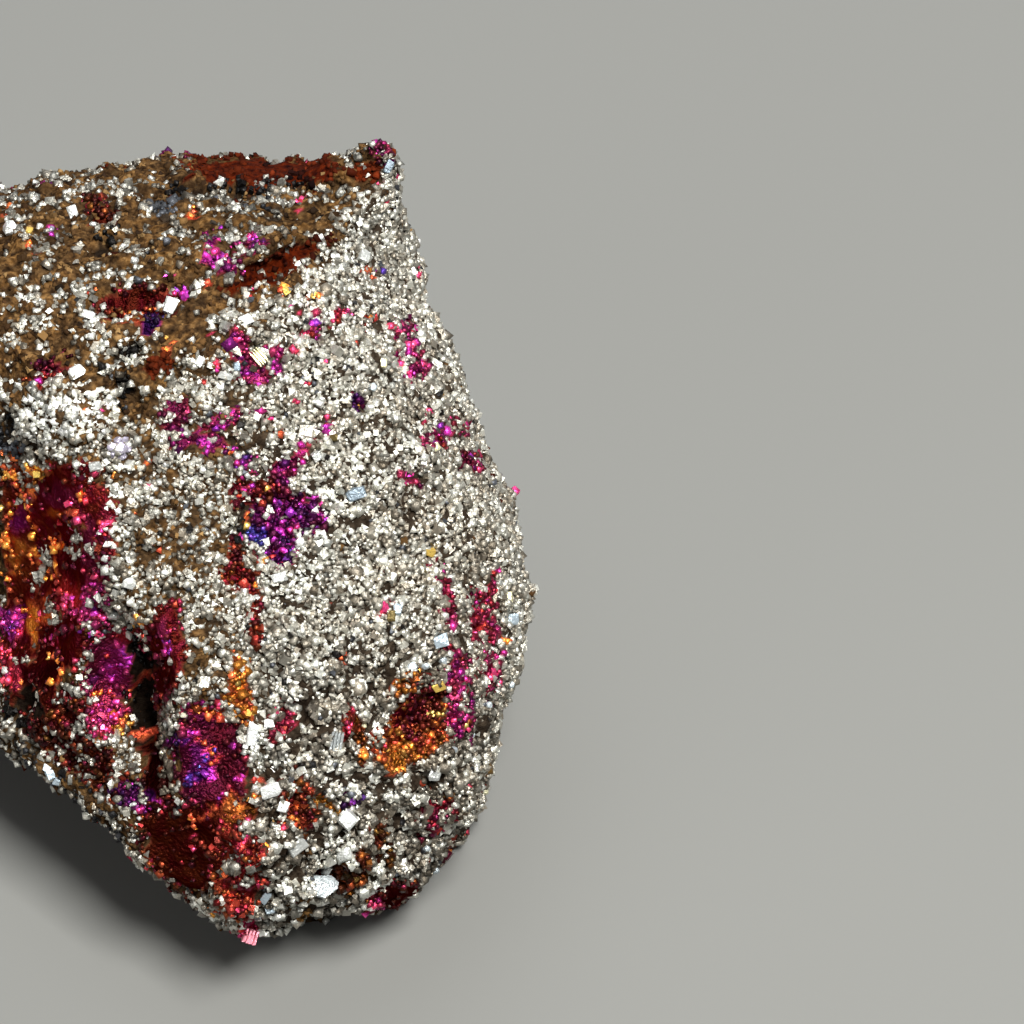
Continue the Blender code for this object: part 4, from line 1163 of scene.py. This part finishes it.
def work_skin(skin, ground):
    """Raise the clumps, the coarse nuggets and the rises, and sink the pits and the crevices."""
    points = read_points(skin)
    normals = read_points(skin, "normal")
    height = CLUMP_HEIGHT * (ground.clump_dome - CLUMP_LEVEL) + CLUMP_RISE * (ground.clump - 0.5)
    height += COARSE_NUGGET_HEIGHT * (ground.nugget_dome - NUGGET_LEVEL) * ground.coarse
    height += MATRIX_ROUGHNESS * noise_at(points, MATRIX_SPACING, 15) * ground.matrix
    height -= pit_depth(points)
    height *= 1.0 - SMOOTH_FLATNESS * ground.smooth
    for *oval, depth in CREVICES:
        inside = smoothstep(*CREVICE_EDGE, in_oval(ground.seen, oval)) * (ground.facing > 0.0)
        height -= depth * MM * inside
    on_rim = smoothstep(*RISE_FACING, ground.facing)
    for *oval, rise in RISES:
        inside = smoothstep(*RISE_EDGE, in_oval(ground.seen, oval)) * on_rim
        height += rise * MM * inside
    above_sole = smoothstep(0.0, SOLE_CLEAR, points[:, 2])
    points += normals * ((height - SKIN_SUNK) * above_sole)[:, None]
    points[:, 2] = np.maximum(points[:, 2], 0.0)
    skin.vertices.foreach_set("co", points.ravel())
    skin.update()


def set_values(mesh, name, values, domain):
    """Values for the materials to read, at each corner or on each face of a mesh."""
    layer = mesh.attributes.new(name, "FLOAT", domain)
    layer.data.foreach_set("value", values.astype(np.float32))


def unfold_skin(skin):
    """A texture layout that looks at the skin from its middle through the six sides of a box."""
    points = read_points(skin) - np.array(SKIN_MIDDLE)
    corner_of = np.empty(len(skin.loops), dtype=np.int32)
    skin.loops.foreach_get("vertex_index", corner_of)
    totals = np.empty(len(skin.polygons), dtype=np.int32)
    skin.polygons.foreach_get("loop_total", totals)
    centres = np.empty(len(skin.polygons) * 3)
    skin.polygons.foreach_get("center", centres)
    centres = centres.reshape(-1, 3) - np.array(SKIN_MIDDLE)
    axis = np.abs(centres).argmax(axis=1)
    positive = centres[np.arange(len(centres)), axis] > 0.0
    axis = np.repeat(axis, totals)
    positive = np.repeat(positive, totals)
    here = points[corner_of]
    rows = np.arange(len(here))
    depth = np.abs(here[rows, axis])
    first = here[rows, (axis + 1) % 3] / depth
    second = here[rows, (axis + 2) % 3] / depth
    box_u = (axis + 0.5 + BOX_FILL * first) / 3.0
    box_v = (positive + 0.5 + BOX_FILL * second) / 2.0
    layer = skin.uv_layers.new(name="OFBake")
    layer.data.foreach_set("uv", np.stack((box_u, box_v), axis=1).astype(np.float32).ravel())


def dress_skin(skin, ground):
    filmed = ground.kind == TARNISH
    # the tan gives way to the dark ground in the gaps, as painted shade, and in the dark patches of
    # slate and of painted shade in crevices
    matrix = ground.matrix * (ground.kind != DARK) * (1.0 - GAP_PAINTED_SHADE_ON_TAN * ground.gap)
    values = {
        "tone": np.where(filmed, ground.tone, FILM_END_TONE),
        "shade": ground.shade * FILM_SHADE,
        "film": filmed,
        "rust": ground.kind == RUST,
        "tan": matrix,
    }
    for name, value in values.items():
        set_values(skin, name, value, "POINT")
    skin.materials.clear()
    skin.materials.append(skin_material())
    unfold_skin(skin)
    skin.shade_smooth()


def add_piece(name, thing):
    """A visible piece of the lump."""
    piece = bpy.data.objects.new(name, thing)
    bpy.context.scene.collection.objects.link(piece)
    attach(piece, "root")
    return piece


def add_skin(lump):
    """The skin, which stands for the solid lump."""
    skin = fine_skin(welded(lump.data))
    rng = np.random.default_rng(SEED + 1)
    ground = Ground(read_points(skin), read_points(skin, "normal"), rng, 0.0)
    work_skin(skin, ground)
    dress_skin(skin, ground)
    skin.name = "ore_skin"
    piece = add_piece("ore_skin", skin)
    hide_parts("ore_lump")
    return skin


# ------------------------------------------------------------------ small crystals


def hull(points):
    """The corners and triangles of the closed shape round some points."""
    shape = bmesh.new()
    for point in points:
        shape.verts.new(point)
    bmesh.ops.convex_hull(shape, input=shape.verts)
    bmesh.ops.triangulate(shape, faces=shape.faces)
    shape.verts.index_update()
    corners = np.array([vert.co for vert in shape.verts])
    faces = np.array([[vert.index for vert in face.verts] for face in shape.faces])
    shape.free()
    return corners, faces


def crystal_forms():
    """The forms that crystals take, each about 1 across: a cube, an octahedron and a wedge."""
    sides = (-0.5, 0.5)
    cube = [(x, y, z) for x in sides for y in sides for z in sides]
    reach = 0.68
    octahedron = [(reach * s, 0, 0) for s in (-1, 1)] + [(0, reach * s, 0) for s in (-1, 1)]
    octahedron += [(0, 0, reach * s) for s in (-1, 1)]
    turns = [2.0 * math.pi * step / 3.0 for step in range(3)]
    radius = 0.6
    ends = (-0.42, 0.42)
    wedge = [(radius * math.cos(turn), radius * math.sin(turn), z) for turn in turns for z in ends]
    return [hull(cube), hull(octahedron), hull(wedge)]


def scatter(skin, rng):
    """Evenly random points on the skin, with the normals there."""
    skin.calc_loop_triangles()
    count = len(skin.loop_triangles)
    corners = np.empty(count * 3, dtype=np.int32)
    skin.loop_triangles.foreach_get("vertices", corners)
    corners = corners.reshape(-1, 3)
    points = read_points(skin)
    normals = read_points(skin, "normal")
    a, b, c = (points[corners[:, side]] for side in range(3))
    areas = np.linalg.norm(np.cross(b - a, c - a), axis=1) / 2.0
    chosen = rng.choice(count, CANDIDATES, p=areas / areas.sum())
    u, v = rng.random((2, CANDIDATES))
    flip = u + v > 1.0
    u[flip], v[flip] = 1.0 - u[flip], 1.0 - v[flip]
    weights = np.stack((1.0 - u - v, u, v), axis=1)
    places = np.einsum("ns,nsk->nk", weights, points[corners[chosen]])
    facing = np.einsum("ns,nsk->nk", weights, normals[corners[chosen]])
    facing /= np.linalg.norm(facing, axis=1)[:, None]
    off_sole = places[:, 2] > SOLE_BARE
    return places[off_sole], facing[off_sole]


def crystal_room(ground):
    """How much room each crystal takes up: more on the back, and a few take much more."""
    rng = ground.rng
    room = GRAIN * np.exp(rng.normal(0.0, GRAIN_SPREAD, ground.count))
    room *= 1.0 + BACK_GRAIN * smoothstep(*BACK_GRAIN_FACING, ground.facing)
    room[ground.kind == TAN] *= TAN_GRAIN
    big = rng.random(ground.count) < BIG_SHARE + COARSE_BIG_SHARE * ground.coarse
    big &= ground.kind == SILVER
    room[big] *= rng.uniform(*BIG_GRAIN, big.sum())
    return room


def crystal_chance(ground):
    """How likely a crystal is to grow at each point: few in gaps, on smooth faces and in the matrix."""
    tan = ground.kind == TAN
    chance = 1.0 - SMOOTH_BARE * ground.smooth
    in_gap = np.maximum(MATRIX_GAP_BARE * ground.matrix, COARSE_GAP_BARE * ground.coarse) * ground.gap
    chance *= 1.0 - in_gap
    chance[tan] *= 1.0 - TAN_BARE * ground.matrix[tan]
    chance[(ground.kind == DARK) & (ground.tone < CREVICE_TONE)] *= 1.0 - CREVICE_BARE
    return chance


def crystal_lift(ground):
    """How far each crystal stands out of the skin: nuggets are domed, and the matrix lies low."""
    lift = NUGGET_HEIGHT * (ground.nugget_dome - NUGGET_LEVEL) + NUGGET_RISE * (ground.nugget - 0.5)
    lift *= 1.0 + COARSE_LIFT * ground.coarse
    lift -= TAN_SUNK * (ground.kind == TAN)
    return lift * (1.0 - SMOOTH_FLATNESS * ground.smooth)


def packed(places, room, rng):
    """Which crystals stay when none may crowd another, the larger ones placed first."""
    tree = KDTree(len(places))
    for index, place in enumerate(places):
        tree.insert(place, index)
    tree.balance()
    free = np.ones(len(places), dtype=bool)
    kept = []
    for index in np.argsort(-room + rng.normal(0.0, ORDER_SPREAD, len(room))):
        if not free[index]:
            continue
        kept.append(index)
        mine = room[index]
        for _, other, distance in tree.find_range(places[index], mine):
            if distance < (mine + room[other]) / 2.0:
                free[other] = False
    return np.array(kept)


def random_turns(rng, count):
    """Random rotation matrices, from random quaternions."""
    quaternions = rng.normal(size=(4, count))
    w, x, y, z = quaternions / np.linalg.norm(quaternions, axis=0)
    return np.stack(
        (
            1 - 2 * (y * y + z * z), 2 * (x * y - z * w), 2 * (x * z + y * w),
            2 * (x * y + z * w), 1 - 2 * (x * x + z * z), 2 * (y * z - x * w),
            2 * (x * z - y * w), 2 * (y * z + x * w), 1 - 2 * (x * x + y * y),
        ),
        axis=1,
    ).reshape(-1, 3, 3)


def grown(form, places, normals, sizes, rng):
    """Corners and triangles of one crystal of a form at each place."""
    corners, faces = form
    count = len(places)
    stretch = rng.uniform(*STRETCH, (count, 1, 3))
    bent = rng.normal(0.0, BEND, (count, len(corners), 3))
    shape = (corners[None] * stretch + bent) * sizes[:, None, None]
    shape = np.einsum("nck,njk->ncj", shape, random_turns(rng, count))
    off_skin = rng.normal(*STANDS_OUT, count) * sizes
    shape += (places + normals * off_skin[:, None])[:, None]
    shape[:, :, 2] = np.maximum(shape[:, :, 2], FLOOR_GAP)
    numbers = faces[None] + (np.arange(count) * len(corners))[:, None, None]
    return shape.reshape(-1, 3), numbers.reshape(-1, 3)


def joined(parts):
    """The corners, the triangles and the triangles' owners of many shapes, as those of one."""
    all_points, all_faces, owners = zip(*parts)
    starts = np.cumsum([0] + [len(points) for points in all_points[:-1]])
    numbers = [faces + start for faces, start in zip(all_faces, starts)]
    return np.concatenate(all_points), np.concatenate(numbers), np.concatenate(owners)


def crystal_shapes(places, normals, sizes, forms, rng):
    """Corners and triangles of a crystal at each place, and the crystal that owns each triangle."""
    form_of = rng.choice(len(forms), len(places), p=FORM_SHARES)
    parts = []
    for number, form in enumerate(forms):
        mine = np.flatnonzero(form_of == number)
        points, faces = grown(form, places[mine], normals[mine], sizes[mine], rng)
        parts.append((points, faces, np.repeat(mine, len(form[1]))))
    return joined(parts)


def crystal_mesh(name, points, faces):
    mesh = bpy.data.meshes.new(name)
    mesh.vertices.add(len(points))
    mesh.vertices.foreach_set("co", points.ravel())
    mesh.loops.add(len(faces) * 3)
    mesh.loops.foreach_set("vertex_index", faces.ravel().astype(np.int32))
    mesh.polygons.add(len(faces))
    mesh.polygons.foreach_set("loop_start", np.arange(len(faces), dtype=np.int32) * 3)
    mesh.update()
    mesh.validate()
    return mesh


def dress_crystals(mesh, owner, tones, shades, crisp, material):
    """Give each face the looks of the crystal that owns it."""
    mesh.attributes.new("sharp_face", "BOOLEAN", "FACE").data.foreach_set("value", crisp[owner])
    set_values(mesh, "tone", tones[owner], "FACE")
    set_values(mesh, "shade", shades[owner], "FACE")
    lay_out_cells(mesh, owner, len(tones))
    mesh.materials.append(material)


def lay_out_cells(mesh, owner, count):
    """A texture layout in which each crystal has a square cell of its own."""
    per_side = math.ceil(math.sqrt(count))
    cell = np.stack((owner % per_side, owner // per_side), axis=1)
    places = (cell[:, None] + np.array(CELL_TRIANGLE)[None]) / per_side
    layer = mesh.uv_layers.new(name="OFBake")
    layer.data.foreach_set("uv", places.astype(np.float32).ravel())


def grow_crystals(skin, rng):
    """Small crystals all over the skin, joined by kind."""
    places, normals = scatter(skin, rng)
    ground = Ground(places, normals, rng, 1.0)
    room = crystal_room(ground)
    candidates = np.flatnonzero(rng.random(ground.count) < crystal_chance(ground))
    kept = candidates[packed(places[candidates], room[candidates], rng)]
    places += normals * crystal_lift(ground)[:, None]
    forms = crystal_forms()
    for kind, name in PIECE_NAMES.items():
        material = grain_material(*CRYSTAL_LOOKS[kind])
        mine = kept[ground.kind[kept] == kind]
        parts = max(1, math.ceil(len(mine) / MOST_IN_A_PIECE))
        order = np.argsort(places[mine, 0])
        for number, part in enumerate(np.array_split(mine[order], parts)):
            label = name if parts == 1 else f"{name}_{number + 1}"
            sizes = room[part] * PLUMPNESS
            points, faces, owner = crystal_shapes(places[part], normals[part], sizes, forms, rng)
            mesh = crystal_mesh(label, points, faces)
            crisp = rng.random(len(part)) < CRISP_SHARE[kind]
            dress_crystals(mesh, owner, ground.tone[part], ground.shade[part], crisp, material)
            add_piece(label, mesh)


# ------------------------------------------------------------------ single crystals


def block_form(rng):
    """A worn block with its edges cut off."""
    corners = []
    for signs in np.ndindex(2, 2, 2):
        corner = np.array(signs) - 0.5
        for axis in range(3):
            inner = corner * (1.0 - 2.0 * BLOCK_CUT)
            inner[axis] = corner[axis]
            corners.append(tuple(inner + rng.normal(0.0, BLOCK_WEAR, 3)))
    return hull(corners)


def bead_form(rng):
    """A round grain with many small flats."""
    points = rng.normal(size=(BEAD_CORNERS, 3))
    return hull(0.5 * points / np.linalg.norm(points, axis=1)[:, None])


def striped_form(rng):
    """Thin plates side by side, every second one a little lower."""
    points, faces = block_form(rng)
    plates = []
    for number in range(STRIPES):
        plate = points * (1.0, PLATE_WIDTH / STRIPES, 1.0 - PLATE_STEP * (number % 2))
        plates.append(plate + (0.0, (number + 0.5) / STRIPES - 0.5, 0.0))
    numbers = [faces + number * len(points) for number in range(STRIPES)]
    return np.concatenate(plates), np.concatenate(numbers)


def blade_form():
    """A flat plate with the blade's outline, whose top slopes down to both ends."""
    return hull([(x, y, z) for x, y in BLADE_OUTLINE for z in (-0.5, 0.5 - BLADE_SLOPE * abs(x + y))])


def wanted_crystals(rng):
    """Each single crystal's form, place, length, width, turn and tone."""
    wanted = [(blade_form(), *BLADE, BLADE_TONE)]
    for form, groups in ((block_form, BLOCKS), (striped_form, STRIPED), (bead_form, BEADS)):
        for tone, crystals in groups.values():
            wanted += [(form(rng), *crystal, tone) for crystal in crystals]
    return wanted


def look_at_skin(tree, across, up):
    """Where a place on the grid is on the skin, as seen from the camera, and the normal there."""
    camera = camera_place()
    place, normal, _, _ = tree.ray_cast(camera, (grid_place(across, up) - camera).normalized())
    return place, normal


def set_in_skin(points, place, normal, length, width, turn, rng):
    """A form's corners when it is sized, turned and set into the skin at a place."""
    turn = math.radians(turn)
    tilt = Vector(rng.normal(0.0, SINGLE_TILT, 3))
    outward = (SINGLE_FACES_CAMERA * OUT + normal + tilt).normalized()
    along = ACROSS * math.cos(turn) + UP * math.sin(turn)
    aside = outward.cross(along).normalized()
    along = aside.cross(outward)
    thick = SINGLE_THICKNESS * min(length, width)
    shape = points * np.array((length, width, thick)) * MM * SINGLE_SIZE
    shape = shape @ np.array((along, aside, outward))
    shape += np.array(place + normal * SINGLE_STANDS_OUT * thick * MM)
    shape[:, 2] = np.maximum(shape[:, 2], FLOOR_GAP)
    return shape


def add_single_crystals(skin, rng):
    """The crystals that stand out from the rest, each at its own place."""
    corners = [vert.co for vert in skin.vertices]
    tree = BVHTree.FromPolygons(corners, [face.vertices for face in skin.polygons])
    parts = []
    tones = []
    for (points, faces), across, up, length, width, turn, tone in wanted_crystals(rng):
        place, normal = look_at_skin(tree, across, up)
        if place is None:
            continue
        shape = set_in_skin(points, place, normal, length, width, turn, rng)
        parts.append((shape, faces, np.full(len(faces), len(tones))))
        tones.append(tone)
    points, faces, owner = joined(parts)
    mesh = crystal_mesh("single_crystals", points, faces)
    shades = rng.uniform(*SINGLE_SHADES, len(tones))
    crisp = np.ones(len(tones), dtype=bool)
    dress_crystals(mesh, owner, np.array(tones), shades, crisp, grain_material(*SINGLE_LOOK))
    add_piece("single_crystals", mesh)


def build():
    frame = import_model()
    solid_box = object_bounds()
    rng = np.random.default_rng(SEED)
    add_camera()
    add_floor()
    add_lights()
    skin = add_skin(frame["nodes"]["ore_lump"])
    grow_crystals(skin, rng)
    add_single_crystals(skin, rng)
    return solid_box


solid_box = build()
